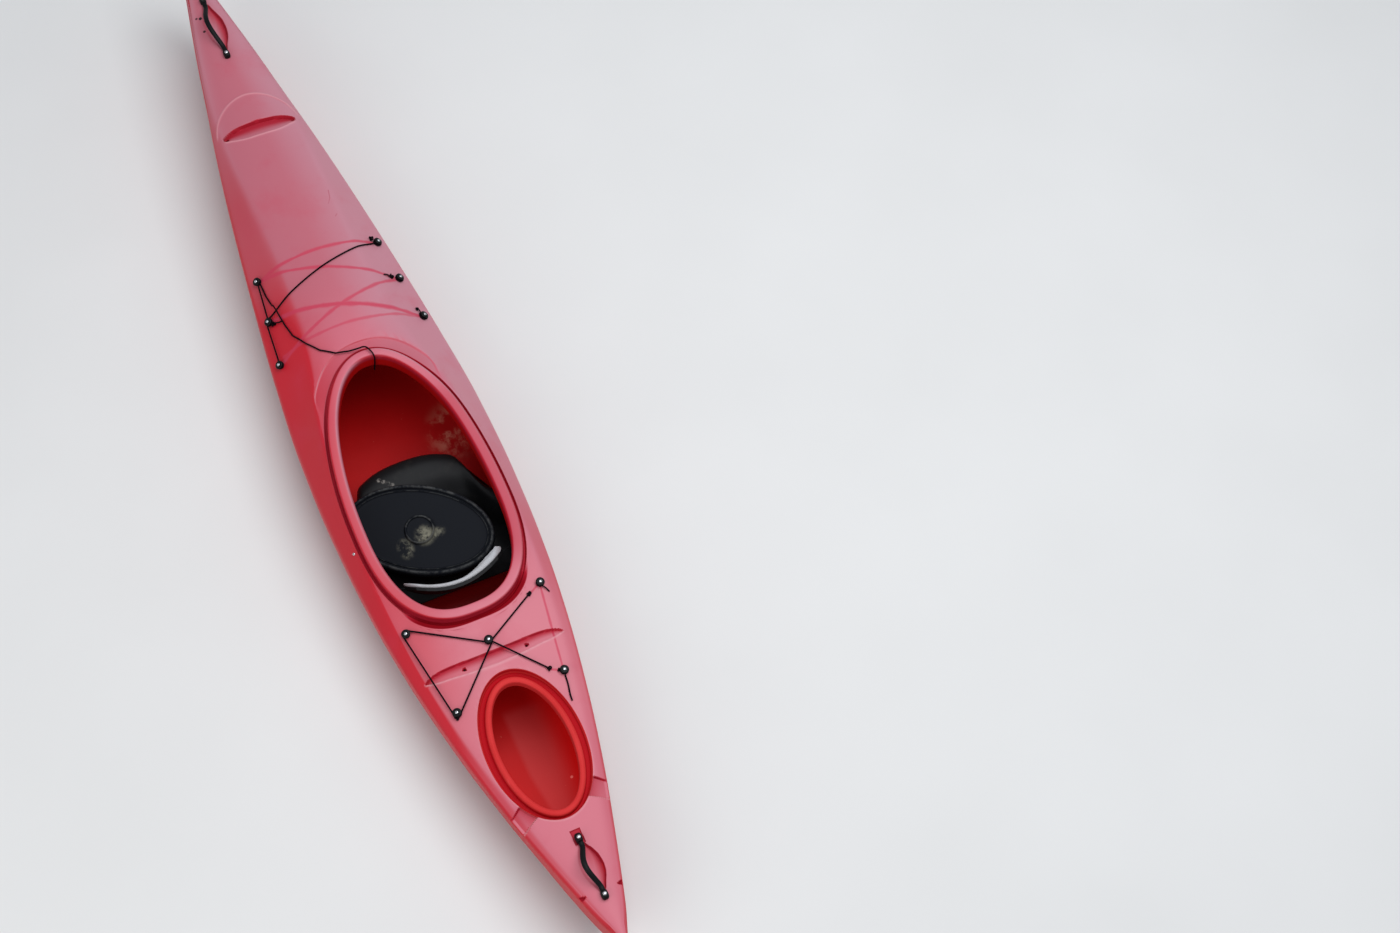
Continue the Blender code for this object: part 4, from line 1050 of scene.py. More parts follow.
def makeDeck():
    x = shellStations()
    port, starboard = deckHalfRing(x, 1), deckHalfRing(x, -1)
    y = np.concatenate([starboard[0][:, ::-1], port[0][:, 1:]], 1)
    z = np.concatenate([starboard[1][:, ::-1], port[1][:, 1:]], 1)
    floor = z[:, -1]
    pick = np.unique(np.round(np.linspace(1, y.shape[1] - 2, shellMesh["deckUnder"])).astype(int))
    innerY = y[:, pick]
    plain = deckPlain(np.broadcast_to(x[:, None], innerY.shape), innerY)
    innerZ = np.minimum(plain, z[:, pick])
    innerZ = innerZ - insideDepth(x[:, None], innerZ, floor[:, None])
    innerY = innerY * (1 - shellMesh["inset"] / np.maximum(halfBeam(x), 0.02))[:, None]
    ring = np.concatenate([ringOf(x, y, z), ringOf(x, innerY, innerZ)[:, ::-1]], 1)
    deck = ringObject("deckShell", ring, "deck", closed=False)
    strip, outer = bandStrip()
    cutWith(deck, prism(outer))
    h, gap = hatchRing, 0.0006
    edge = oval(h["recessLength"] - gap, h["recessWidth"] - gap, h["centre"], h["segments"])
    cutWith(deck, prism(edge))
    bpy.ops.object.select_all(action="DESELECT")
    strip.select_set(True)
    deck.select_set(True)
    bpy.context.view_layer.objects.active = deck
    bpy.ops.object.join()
    keepForms(deck)
    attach(deck, boat)
    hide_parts("deck_stern", "deck_middle", "deck_bow")


def bandStrip():
    # The deck beside the coaming in rows that follow it, and the line that the rest of the deck is cut to
    f = coamingBand
    ahead, behind = bandShares(cockpitLine(cockpit["flange"])[:, 0])
    wide = f["fore"] * ahead + f["aft"] * behind + f["margin"]
    shares = np.linspace(0, 1, f["rows"])
    first = cockpit["flange"] - 0.001
    rows = np.stack([cockpitLine((first + (wide + 0.001) * t)[:, None]) for t in shares], 1)
    top = np.concatenate([rows, deckHeight(rows[..., 0], rows[..., 1])[..., None]], -1)
    top[:, -1, 2] += 0.0002
    strip = ringObject("bandStrip", np.concatenate([top, top[:, ::-1] - (0, 0, f["skin"])], 1), "deck")
    return strip, cockpitLine((cockpit["flange"] + wide - 0.0008)[:, None])


def keepForms(deck):
    # Sunk forms take a fresher, darker red, partly unfaded plastic and partly painted shade, and faces under
    # the deck take the inside's material
    places = np.empty(len(deck.data.vertices) * 3)
    deck.data.vertices.foreach_get("co", places)
    x, y, z = places.reshape(-1, 3).T
    rise, red, edge = deckForms(x, y)
    red = np.where(z < deckPlain(x, y) + rise - 0.003, 1.0, red)
    keepValues(deck, "sunk", np.clip(red, 0, 2))
    keepValues(deck, "worn", np.clip(edge, 0, 2))
    paintFaces(deck, faceRows(deck, "normal")[:, 2] < -0.2)


def bothSides(x, y, z):
    return ringOf(x, np.concatenate([y, -y[:, ::-1]], 1), np.concatenate([z, z[:, ::-1]], 1))


def makeHull():
    x = shellStations()
    m = shellMesh
    ts = np.linspace(0.5, 1, m["fillet"])[:-1]
    roundY, roundZ, turn = edgeCurve(x[:, None], ts[None, :])
    turn = turn[:, -1:]
    angles = turn + (math.pi / 2 - turn) * np.linspace(0, 1, m["hullSteps"])[None, :]
    y, z = hullAt(x[:, None], angles)
    outer = bothSides(x, np.concatenate([roundY, y], 1), np.concatenate([roundZ, z], 1))
    wall = np.minimum(boatForm["wall"], 0.3 * halfBeam(x))[:, None]
    y, z = hullAt(x[:, None], np.linspace(0.06, math.pi / 2, m["hullInside"])[None, :], wall)
    inner = bothSides(x, y, np.minimum(z, sheer(x)[:, None] - 0.002))
    hull = ringObject("hullShell", np.concatenate([outer, inner[:, ::-1]], 1), "hull", closed=False)
    # The faces that look into the boat
    centres, normals = faceRows(hull, "center"), faceRows(hull, "normal")
    middle = boatForm["sheer"] + 0.05
    paintFaces(hull, normals[:, 1] * centres[:, 1] + normals[:, 2] * (centres[:, 2] - middle) < 0)
    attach(hull, boat)
    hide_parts("hull_stern", "hull_middle", "hull_bow")


print("stage: shells")
makeCamera()
makeDeck()
makeHull()


# Coaming: flange, groove, rolled lip and skirt. Columns: distance out from the opening, height over the deck
# there, how much of the fresh red that shade and cover have kept, in the groove and on the lip's outer wall
# partly painted shade
coamingProfile = (
    (0.0470, 0.0003, 0.4), (0.0462, 0.0004, 0.6), (0.0448, -0.0010, 1.0), (0.0428, -0.0055, 1.0),
    (0.0402, -0.0100, 1.0), (0.0375, -0.0116, 1.0), (0.0346, -0.0108, 1.0), (0.0318, -0.0068, 1.0),
    (0.0304, 0.0000, 1.0), (0.0299, 0.0075, 1.0), (0.0303, 0.0126, 0.9), (0.0300, 0.0172, 0.35),
    (0.0282, 0.0206, 0.05), (0.0244, 0.0224, 0.0), (0.0160, 0.0228, 0.0), (0.0080, 0.0221, 0.0),
    (0.0040, 0.0198, 0.1), (0.0014, 0.0152, 0.3), (0.0002, 0.0085, 0.8), (0.0000, -0.0070, 1.0),
    (0.0000, -0.0350, 1.0), (0.0048, -0.0350, 1.0), (0.0056, -0.0050, 1.0), (0.0080, 0.0125, 1.0),
    (0.0140, 0.0160, 1.0), (0.0215, 0.0150, 1.0), (0.0248, 0.0060, 1.0), (0.0252, -0.0100, 1.0),
    (0.0300, -0.0175, 1.0), (0.0420, -0.0180, 1.0), (0.0464, -0.0060, 0.9),
)
# The lip is this much wider at the sides and aft than in front
coamingLip = {"edge": 0.0304, "wider": 0.15, "first": 0.07, "last": -0.15}


def makeCoaming():
    line = roundLine(coamingProfile, 3)
    edge = cockpitLine(cockpit["flange"])
    base = deckHeight(edge[:, 0], edge[:, 1])
    soft = deckPlain(edge[:, 0], edge[:, 1])
    for _ in range(60):  # the lip runs smoothly where the deck below it has a ridge
        soft = (np.roll(soft, 1) + 2 * soft + np.roll(soft, -1)) / 4
    rings = np.zeros((cockpit["segments"], len(line), 3))
    wider = coamingLip["wider"] * smooth(coamingLip["first"], coamingLip["last"], edge[:, 0])
    for k, (offset, up, _) in enumerate(line):
        share = float(smooth(0.046, 0.036, offset))
        beyond = max(0.0, (offset - coamingLip["edge"]) / (cockpit["flange"] - coamingLip["edge"]))
        more = min(offset, coamingLip["edge"]) * wider * (1 - min(1.0, beyond))
        rings[:, k, :2] = cockpitLine((offset + more)[:, None])
        rings[:, k, 2] = base * (1 - share) + soft * share + up
    coaming = ringObject("coamingRing", rings, "deck")
    x, y = edge[:, :1], edge[:, 1:]
    red = np.tile(np.clip(line[:, 2], 0, 1), (len(rings), 1))
    # Behind the cockpit the groove and the outside of the lip turn near black: painted shade, partly unfaded
    # red
    red = np.maximum(red, 1.8 * bandShares(x)[1] * smooth(0.0300, 0.0330, line[:, 0])[None, :])
    # The starboard side of the lip takes a deeper red: partly less fading, partly painted shade on the face
    # away from the light
    shade = smooth(-0.12, -0.23, y) * smooth(0.0, -0.15, x) * smooth(-0.80, -0.66, x)
    keepValues(coaming, "sunk", np.maximum(red, 0.50 * shade).reshape(-1))
    first = next(k for k in range(len(line)) if line[k, 0] < 0.003 and line[k, 1] < 0.004)
    paintFaces(coaming, np.tile(np.arange(len(line)) >= first, len(rings)))
    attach(coaming, boat)
    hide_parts("cockpit_coaming")


def makeHatchRim():
    h = hatchRing
    top = float(deckPlain(h["centre"], 0.0)) - h["below"]
    floor = top - h["depth"]
    a, b = h["recessLength"], h["recessWidth"]
    ra, rb = h["halfLength"] + h["rim"], h["halfWidth"] + h["rimSide"]
    oa, ob = h["inner"], h["halfWidth"]
    # Columns: half length, half width, height, share of the deck's own height
    profile = (
        (a, b, 0.0004, 1), (a - 0.0015, b - 0.0015, -0.0002, 1), (a - 0.003, b - 0.0035, floor + 0.010, 0),
        (a - 0.005, b - 0.006, floor + 0.002, 0), (a - 0.008, b - 0.009, floor, 0),
        (ra + 0.004, rb + 0.004, floor, 0), (ra + 0.0012, rb + 0.0012, floor + 0.003, 0),
        (ra, rb, floor + 0.009, 0), (ra - 0.0014, rb - 0.0016, top - 0.0052, 0),
        (ra - 0.005, rb - 0.006, top - 0.0016, 0), ((ra + oa) / 2, (rb + ob) / 2, top, 0),
        (oa + 0.005, ob + 0.006, top - 0.0014, 0), (oa + 0.0013, ob + 0.0016, top - 0.0050, 0),
        (oa, ob, floor + 0.002, 0), (oa, ob, floor - 0.008, 0), (oa + 0.005, ob + 0.005, floor - 0.009, 0),
        (oa + 0.008, ob + 0.008, floor - 0.005, 0), (a - 0.006, b - 0.006, floor - 0.005, 0),
        (a - 0.0008, b - 0.0008, floor, 0),
    )
    line = roundLine([(p[0] - a, p[1] - b, p[2], p[3]) for p in profile], 3)
    edge = oval(a, b, h["centre"], h["segments"])
    deckUp = deckPlain(edge[:, 0], edge[:, 1])
    rings = np.zeros((h["segments"], len(line), 3))
    for k, (da, db, up, share) in enumerate(line):
        centre = h["centre"] + h["shift"] * float(smooth(-0.009, -0.020, da))
        rings[:, k, :2] = oval(a + da, b + db, centre, h["segments"])
        rings[:, k, 2] = deckUp * share + up
    rim = ringObject("hatchRing", rings, "rim")
    groove = smooth(floor + 0.012, floor + 0.004, line[:, 2]) * (line[:, 3] < 0.5)
    groove = np.maximum(groove, 0.8 * (line[:, 3] > 0.02) * (line[:, 3] < 0.9))
    keepValues(rim, "sunk", np.tile(groove * (line[:, 1] > rb - b - 0.002), len(rings)))
    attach(rim, boat)
    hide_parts("hatch_rim")


print("stage: coaming and hatch")
makeCoaming()
makeHatchRim()


# Mesh parts: each is (points, faces, slot), and a piece is made of several
def turnedPart(profile, segments, matrix, slot=0):
    # A piece turned on the Z axis from rows of radius and height, which start and end on the axis
    profile = np.asarray(profile, float)
    angle = 2 * math.pi * np.arange(segments) / segments
    r, z = profile[1:-1, :1], profile[1:-1, 1:2]
    rings = np.stack([r * np.cos(angle), r * np.sin(angle), np.repeat(z, segments, 1)], -1)
    points = np.vstack([[[0, 0, profile[0, 1]]], rings.reshape(-1, 3), [[0, 0, profile[-1, 1]]]])
    faces = [[k + 1 for k in f] for f in gridFaces(len(r), segments, False, True)]
    last = len(points) - 1
    for j in range(segments):
        k = (j + 1) % segments
        faces.append([0, 1 + k, 1 + j])
        faces.append([last, last - segments + j, last - segments + k])
    return moved(points, matrix), faces, slot


def moved(points, matrix):
    grid = np.array(matrix)
    return np.asarray(points, float) @ grid[:3, :3].T + grid[:3, 3]


def standing(where, normal, along=(1, 0, 0)):
    # A matrix at where, with its Z along normal and its X near along
    z = Vector(normal).normalized()
    x = Vector(along)
    x = (x - z * x.dot(z)).normalized()
    return Matrix.Translation(where) @ Matrix((x, z.cross(x), z)).transposed().to_4x4()


def tubePart(path, radius, sides=14, slot=0, flat=1.0):
    # A tube with round ends along path. radius: one value or one for each point; flat: height over width
    path, up = np.asarray(path, float), (0, 0, 1)
    radius = np.broadcast_to(np.asarray(radius, float), (len(path),)).copy()
    along = np.gradient(path, axis=0)
    along /= np.linalg.norm(along, axis=1)[:, None]
    side = np.cross(along[0], up)
    if np.linalg.norm(side) < 0.05:
        side = np.cross(along[0], (0, 1, 0))
    side /= np.linalg.norm(side)
    sidesAlong = []
    for t in along:
        side = np.cross(t, up) if flat != 1.0 else side - t * side.dot(t)
        side = side / np.linalg.norm(side)
        sidesAlong.append(side)
    sidesAlong = np.array(sidesAlong)
    steps = np.linspace(0.12, 0.9, 4)
    shrink = np.sqrt(1 - (1 - steps) ** 2)
    first = path[0] - along[0] * (radius[0] * (1 - steps))[:, None] * 0.8
    last = path[-1] + along[-1] * (radius[-1] * (1 - steps))[::-1, None] * 0.8
    path = np.vstack([first, path, last])
    radius = np.concatenate([radius[0] * shrink, radius, radius[-1] * shrink[::-1]])
    over = np.cross(sidesAlong, along)
    sidesAlong, over = (np.pad(rows, ((4, 4), (0, 0)), "edge") for rows in (sidesAlong, over))
    angle = 2 * math.pi * np.arange(sides) / sides
    c, s = np.cos(angle)[None, :, None], np.sin(angle)[None, :, None] * flat
    rings = path[:, None, :] + radius[:, None, None] * (c * sidesAlong[:, None, :] + s * over[:, None, :])
    return gridPart(rings, slot)


def makePiece(name, parts, materials, body=boat, replaces=(), smoothing=38.0):
    points, faces, slots, start = [], [], [], 0
    for places, sides, slot in parts:
        points.append(np.asarray(places, float))
        faces += [[k + start for k in f] for f in sides]
        slots += [slot] * len(sides)
        start += len(places)
    item = newObject(name, np.vstack(points), faces, materials[0], smoothing)
    for extra in materials[1:]:
        item.data.materials.append(paint[extra])
    item.data.polygons.foreach_set("material_index", np.array(slots, np.int32))
    outward(item)
    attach(item, body)
    if replaces:
        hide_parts(*replaces)
    return item


# Seat pan with a raised, rounded front. Rows: share of the half width, how far aft the front edge lies there
seat = {
    "front": -0.172, "rear": -0.655, "halfWidth": 0.248, "sideStart": 0.72, "sideRise": 0.035,
    "frontDip": 0.030, "hollow": 0.0035, "thickness": 0.0045, "bulge": 0.0012, "along": 72, "across": 84,
}
seatFrontRows = np.array((
    (0.0, 0.0), (0.2, 0.002), (0.4, 0.010), (0.52, 0.020),
    (0.637, 0.034), (0.720, 0.075), (0.790, 0.135), (0.860, 0.175), (1.0, 0.205),
))
# Rows: share of the way from front to rear, height of the pan
seatFloorRows = np.array((
    (0.0, 0.112), (0.05, 0.145), (0.11, 0.155), (0.20, 0.148), (0.34, 0.112), (0.50, 0.060),
    (0.72, 0.048), (0.90, 0.062), (1.0, 0.084),
))


def seatSurface(v, u):
    front = seat["front"] - throughRows(seatFrontRows, np.abs(u))
    x = front + (seat["rear"] - front) * v
    side = np.clip((np.abs(u) - seat["sideStart"]) / (1 - seat["sideStart"]), 0, 1)
    rise = seat["sideRise"] * side**1.6 * np.minimum(1.0, v / 0.4)
    dip = seat["frontDip"] * u * u * np.clip(1 - v / 0.4, 0, 1)
    # Two moulded hollows for the thighs, and a low rib between them
    hollow = seat["hollow"] * ridgeLine(np.abs(u) - 0.34, 0.17)
    hollow = hollow * smooth(0.16, 0.34, v) * smooth(0.86, 0.66, v)
    z = throughRows(seatFloorRows, v) - dip + rise - hollow
    return np.stack(np.broadcast_arrays(x, seat["halfWidth"] * u, z), -1)


def makeSeat():
    v = np.linspace(0, 1, seat["along"])[:, None]
    u = np.linspace(-1, 1, seat["across"])[None, :]
    upper = seatSurface(v, u)
    lower = upper.copy()
    lower[..., 2] -= seat["thickness"]
    middle, bulge = (upper + lower) / 2, (0, seat["bulge"], 0)
    rings = np.concatenate([upper, middle[:, -1:] + bulge, lower[:, ::-1], middle[:, :1] - bulge], 1)
    makePiece("seatPan", [gridPart(rings)], ["seat"], replaces=("seat",))


# Hatch cover on the seat: rounded rim, groove, inner ridge, flat panel and a ring at the middle
cover = {
    "halfLength": 0.238, "halfWidth": 0.147, "place": (-0.4605, 0.0435, 0.1830), "turn": -31.0, "lean": -11.0,
    "segments": 132, "panelSteps": 14, "panelRise": 0.0006, "middle": 0.0070, "under": -0.0040,
}
# Columns: distance in from the oval's edge, height, wear and painted highlight on the crests
coverRimRows = (
    (0.0010, -0.0160, 0.0), (0.0000, -0.0148, 0.2), (0.0000, -0.0020, 0.0), (0.0008, 0.0048, 0.0),
    (0.0032, 0.0102, 0.3), (0.0066, 0.0130, 0.8), (0.0092, 0.0134, 0.9), (0.0120, 0.0120, 0.5),
    (0.0142, 0.0082, 0.0), (0.0156, 0.0044, 0.0), (0.0180, 0.0036, 0.0), (0.0194, 0.0056, 0.2),
    (0.0210, 0.0072, 0.6), (0.0228, 0.0060, 0.2), (0.0246, 0.0030, 0.0), (0.0275, 0.0022, 0.0),
)
# Columns: radius, height, wear and painted highlight on the crests
coverBossRows = (
    (0.0500, 0.0022, 0.0), (0.0488, 0.0026, 0.0), (0.0474, 0.0070, 0.3), (0.0456, 0.0112, 0.8),
    (0.0430, 0.0122, 0.8), (0.0408, 0.0108, 0.3), (0.0394, 0.0066, 0.0), (0.0372, 0.0054, 0.0),
    (0.0260, 0.0058, 0.0), (0.0120, 0.0064, 0.0),
)


def makeCover():
    c = cover
    angle = 2 * math.pi * np.arange(c["segments"]) / c["segments"]
    cos, sin = np.cos(angle), np.sin(angle)

    def ring(wide, long, z):
        return np.stack([wide * cos, long * sin, np.full(len(angle), z)], -1)

    def ovalRing(inset, z):
        return ring(c["halfWidth"] - inset, c["halfLength"] - inset, z)

    rings = [ovalRing(0.0075, c["under"]), ovalRing(0.0070, -0.0150)]
    worn = [0.0, 0.0]
    rimLine = roundLine(coverRimRows, 2, closed=False)
    rings += [ovalRing(inset, z) for inset, z, _ in rimLine]
    worn += list(rimLine[:, 2])
    panelEdge, (radius, z, _) = ovalRing(*coverRimRows[-1][:2]), coverBossRows[0]
    bossEdge = ring(radius, radius, z)
    for share in np.linspace(0, 1, c["panelSteps"])[1:-1]:
        up = c["panelRise"] * math.sin(math.pi * share)
        rings.append(panelEdge * (1 - share) + bossEdge * share + (0, 0, up))
        worn.append(0.0)
    bossLine = roundLine(coverBossRows, 2, closed=False)
    rings += [ring(radius, radius, z) for radius, z, _ in bossLine]
    worn += list(bossLine[:, 2])
    grid = np.array(rings)
    points = np.vstack([grid.reshape(-1, 3), [[0, 0, c["middle"]]], [[0, 0, c["under"]]]])
    faces = gridFaces(len(grid), len(angle), False, True)
    last = (len(grid) - 1) * len(angle)
    for j in range(len(angle)):
        k = (j + 1) % len(angle)
        faces.append([last + j, last + k, len(points) - 2])
        faces.append([j, k, len(points) - 1])
    matrix = Matrix.Translation(c["place"]) @ Matrix.Rotation(math.radians(c["turn"]), 4, "Z")
    matrix = matrix @ Matrix.Rotation(math.radians(c["lean"]), 4, "Y")
    item = makePiece(
        "rubberCover", [(moved(points, matrix), faces, 0)], ["rubber"], body="hatch_cover_body",
        replaces=("hatch_cover",),
    )
    keepValues(item, "worn", np.concatenate([np.repeat(np.clip(worn, 0, 1), len(angle)), [0, 0]]))


# Backrest: a padded band in front of a plastic shell, on two straps that turn on the hangers
backrest = {
    "pivot": (-0.584, 0.0, 0.168), "setback": 0.020, "halfWidth": 0.162, "sag": 0.055, "height": 0.105,
    "pad": 0.014, "lean": 20.0, "roundStart": 0.72, "roundShare": 0.5, "seam": 0.013, "fuller": 0.018,
    "thinner": 0.006, "swell": 0.0042, "seamDepth": 0.0022, "seamWidth": 0.0016, "crease": 0.0006,
    "roll": 0.0055, "rollWidth": 0.007, "along": 110, "across": 40,
}


def bandSurface(s, up, back):
    b = backrest
    y = b["halfWidth"] * s
    x = -b["setback"] - b["sag"] * (1 - s * s) - back
    toEnd = np.clip((np.abs(s) - b["roundStart"]) / (1 - b["roundStart"]), 0, 1)
    rounding = b["roundShare"] * b["height"] * toEnd**2
    z = rounding * 0.9 + up * (b["height"] - rounding * 1.8)
    a = math.radians(-b["lean"])
    where = (x * math.cos(a) + z * math.sin(a), y + 0 * z, z * math.cos(a) - x * math.sin(a))
    return np.stack(np.broadcast_arrays(*where), -1) + np.array(b["pivot"])


def makeBackrestPad():
    # Its face swells between the edges, with a pressed seam inside the edge and creases towards the middle
    b = backrest
    s = np.linspace(-1, 1, b["along"])[:, None]
    w = np.linspace(0, 1, b["across"])[None, :]
    toEnd = (1 - np.abs(s)) * b["halfWidth"]
    toSide = np.minimum(w, 1 - w) * b["height"]
    edge = np.minimum(toEnd + 0 * w, toSide + 0 * s)
    swell = b["swell"] * smooth(0.0, 0.030, edge)
    seam = -b["seamDepth"] * ridgeLine(edge - b["seam"], b["seamWidth"])
    crease = b["crease"] * np.sin(w * 9 + s * 4) * np.sin(s * 47 + 3 * w) * smooth(0.004, 0.02, edge)
    inRoll = 1 - np.clip(edge / b["rollWidth"], 0, 1)
    roll = b["roll"] * (1 - np.sqrt(np.clip(1 - inRoll**2, 0, 1)))
    # Fuller toward the starboard end, most near the top so that the folded pad clears the lifted cover
    high = np.sin(math.pi * np.clip(w, 0.02, 0.98)) ** 0.5 * (0.22 + 0.78 * smooth(0.55, 0.85, w))
    uneven = b["fuller"] * smooth(-0.05, -0.70, s) * smooth(0.0, 0.02, toEnd) * high
    uneven = uneven - b["thinner"] * smooth(0.1, 0.8, s) * smooth(0.0, 0.02, edge)
    front = bandSurface(s, w, 0.0014 - swell * 0.35 - seam + roll - crease - uneven)
    rear = bandSurface(s, w, b["pad"] - 0.0002 - roll * 0.8 + 0 * w)
    rings = np.concatenate([front, rear[:, ::-1]], 1)
    item = makePiece(
        "backrestPad", [gridPart(rings)], ["pad"], body="backrest", replaces=("backrest_pad",),
        smoothing=60.0,
    )


# Eyes: a foot, a neck and a domed head with a steel screw. Five at each side and one in the middle
eyePlaces = ((0.548, 0.205), (0.392, 0.222), (0.230, 0.243), (-0.803, 0.219), (-1.098, 0.173))
eyes = {
    f"eye_{label}_{i}": (x, y * side)
    for label, side in (("port", 1), ("starboard", -1)) for i, (x, y) in enumerate(eyePlaces, 1)
}
eyes["eye_centre"] = (-0.923, 0.0)
eyeForm = {"neck": 0.0080, "neckUp": 0.0075, "segments": 40}
# Rows of both: radius, height
eyeRows = (
    (0, 0.0003), (0.0104, 0.0003), (0.0117, 0.0009), (0.0119, 0.0024), (0.0108, 0.0034),
    (0.0087, 0.0043), (0.0080, 0.0056), (0.0080, 0.0092), (0.0090, 0.0101), (0.0124, 0.0107),
    (0.0138, 0.0115), (0.0141, 0.0127), (0.0134, 0.0141), (0.0112, 0.0152), (0.0082, 0.0157),
    (0.0066, 0.0154), (0.0060, 0.0144), (0, 0.0143),
)
screwRows = (
    (0, 0.0002), (0.0050, 0.0002), (0.0053, 0.0010), (0.0049, 0.0022), (0.0037, 0.0030), (0.0021, 0.0033),
    (0.0018, 0.0030), (0.0016, 0.0014), (0, 0.0014),
)


def screwPart(matrix, lift, size=1.0, slot=1):
    rows = [(r * size, lift + z * size) for r, z in screwRows]
    return turnedPart(rows, 24, matrix, slot)


def onDeck(x, y, up=0.0):
    return Vector((x, y, float(deckPlain(x, y)))) + deckNormal(x, y) * up


def makeEyes():
    for i, (name, (x, y)) in enumerate(eyes.items()):
        matrix = standing(onDeck(x, y), deckNormal(x, y), (math.cos(i * 2.1), math.sin(i * 2.1), 0))
        parts = [turnedPart(eyeRows, eyeForm["segments"], matrix), screwPart(matrix, 0.0143)]
        words = name.split("_")
        title = words[0] + "".join(w.capitalize() for w in words[1:])
        makePiece(title, parts, ["fitting", "steel"], replaces=(name,))


# Cords. The taut ones are led round the eyes' necks; two slack ends lie free
cordForm = {
    "radius": 0.0026, "clear": 0.0018, "fit": 0.0006, "passing": 0.0155, "step": 0.01352, "spread": 0.0208,
}
aftKnots = ((-0.828, -0.174), (-1.077, -0.134))
slackRows = (
    (0.533, 0.2035), (0.480, 0.203), (0.425, 0.196), (0.402, 0.1925), (0.386, 0.190), (0.340, 0.186),
    (0.290, 0.178), (0.235, 0.152), (0.186, 0.121), (0.150, 0.080), (0.137, 0.040),
)
slackEndRows = (
    (0.1310, 0.0150, 0.3650), (0.1235, -0.0040, 0.3770), (0.1150, -0.0120, 0.3828),
    (0.1000, -0.0190, 0.3836), (0.0880, -0.0225, 0.3826), (0.0795, -0.0240, 0.3768),
    (0.0760, -0.0245, 0.3660), (0.0752, -0.0235, 0.3480),
    (0.0752, -0.0215, 0.3220), (0.0760, -0.0195, 0.2980),
)
tailRows = (
    (-1.114, -0.1705), (-1.128, -0.1690), (-1.146, -0.1665),
    (-1.163, -0.1625), (-1.180, -0.1590), (-1.196, -0.1575),
)


def neckAt(name):
    return onDeck(*eyes[name], cordForm["fit"] + eyeForm["neckUp"])


def lying(x, y, above=0.0):
    up = (cordForm["radius"] + cordForm["clear"]) / max(deckNormal(x, y).z, 0.5)
    return Vector((x, y, float(deckPlain(x, y)) + up + above))


def drape(a, b, steps):
    found = []
    for i in range(1, steps):
        p = a.lerp(b, i / steps)
        found.append(Vector((p.x, p.y, max(p.z, lying(p.x, p.y).z))))
    return found


def beside(name, toward, gap=0.0):
    centre, axis = neckAt(name), deckNormal(*eyes[name])
    way = toward - centre
    way = (way - axis * way.dot(axis)).normalized()
    return centre + way * (eyeForm["neck"] + cordForm["fit"] + gap)


def around(name, before, after):
    # Points round the far side of an eye's neck
    centre, axis = neckAt(name), deckNormal(*eyes[name])
    reach = eyeForm["neck"] + cordForm["radius"] + cordForm["fit"]
    into, out = (centre - before).normalized(), (after - centre).normalized()
    away = (into - out).normalized()
    away = (away - axis * away.dot(axis)).normalized()
    side = axis.cross(away)
    turn = 1.0 if side.dot(out) > 0 else -1.0
    angles = [math.radians(a) * turn for a in (-75, -50, -25, 0, 25, 50, 75)]
    return [centre + (away * math.cos(a) + side * math.sin(a)) * reach for a in angles]


def lacing(names, start, end):
    stops = [start] + [neckAt(n) for n in names] + [end]
    points, last = [start], start
    for i, name in enumerate(names, 1):
        bend = around(name, stops[i - 1], stops[i + 1])
        points += drape(last, bend[0], 24) + bend
        last = bend[-1]
    return points + drape(last, end, 24) + [end]


def stepped(points, gap):
    found = [points[0]]
    for a, b in zip(points, points[1:]):
        steps = max(1, round((b - a).length / gap))
        found += [a.lerp(b, (i + 1) / steps) for i in range(steps)]
    return found


def over(p, below):
    # p lifted to pass over the cord below, where that runs under it
    for a, b in zip(below, below[1:]):
        run = Vector((b.x - a.x, b.y - a.y))
        if run.length_squared < 1e-10:
            continue
        share = min(1.0, max(0.0, (Vector((p.x, p.y)) - Vector((a.x, a.y))).dot(run) / run.length_squared))
        near = a.lerp(b, share)
        away = math.hypot(p.x - near.x, p.y - near.y) / cordForm["spread"]
        if away < 1:
            p.z = max(p.z, near.z + (cordForm["radius"] * 2 + cordForm["clear"]) * (1 - away**4))
    return p


def slackPath(below):
    plan = stepped([Vector((x, y, 0)) for x, y in slackRows], cordForm["step"])
    points = [over(lying(p.x, p.y), below) for p in plan]
    return points + stepped([points[-1]] + [Vector(row) for row in slackEndRows], cordForm["step"])[1:]


def fineLine(points, steps=4):
    return roundLine([tuple(p) for p in points], steps, closed=False)


def knotPart(where, normal, along, size, radius):
    # A small overhand knot, pulled up
    t = np.linspace(0.25, 2 * math.pi - 0.25, 48)
    x, y, z = np.sin(t) + 2 * np.sin(2 * t), np.cos(t) - 2 * np.cos(2 * t), -1.3 * np.sin(3 * t)
    points = np.stack([x, y, z], -1) * size / 3
    return tubePart(moved(points, standing(where, normal, along)), radius, 12)


def deckKnot(x, y, up, along, size, radius):
    return knotPart(onDeck(x, y, up), deckNormal(x, y), along, size, radius)


def coilPart(name, turns, spread, radius, start):
    # Turns of cord round an eye's neck, crowded under its head
    x, y = eyes[name]
    t = np.linspace(0, 2 * math.pi * turns, int(26 * turns))
    reach = eyeForm["neck"] + radius + spread * t / t[-1]
    rise = 0.0062 + 0.0022 * np.sin(t * 1.31 + start)
    points = np.stack([reach * np.cos(t + start), reach * np.sin(t + start), rise], -1)
    return tubePart(moved(points, standing(onDeck(x, y), deckNormal(x, y))), radius, 12)


def shortEnd(rows, radius):
    # A short cut end, from rows of x, y and height over the deck
    points = [onDeck(x, y, up + radius) for x, y, up in rows]
    return tubePart(fineLine(points, 6), radius, 12)


def cordPiece(name, parts, *replaces):
    return makePiece(name, parts, ["cord"], replaces=replaces, smoothing=50.0)


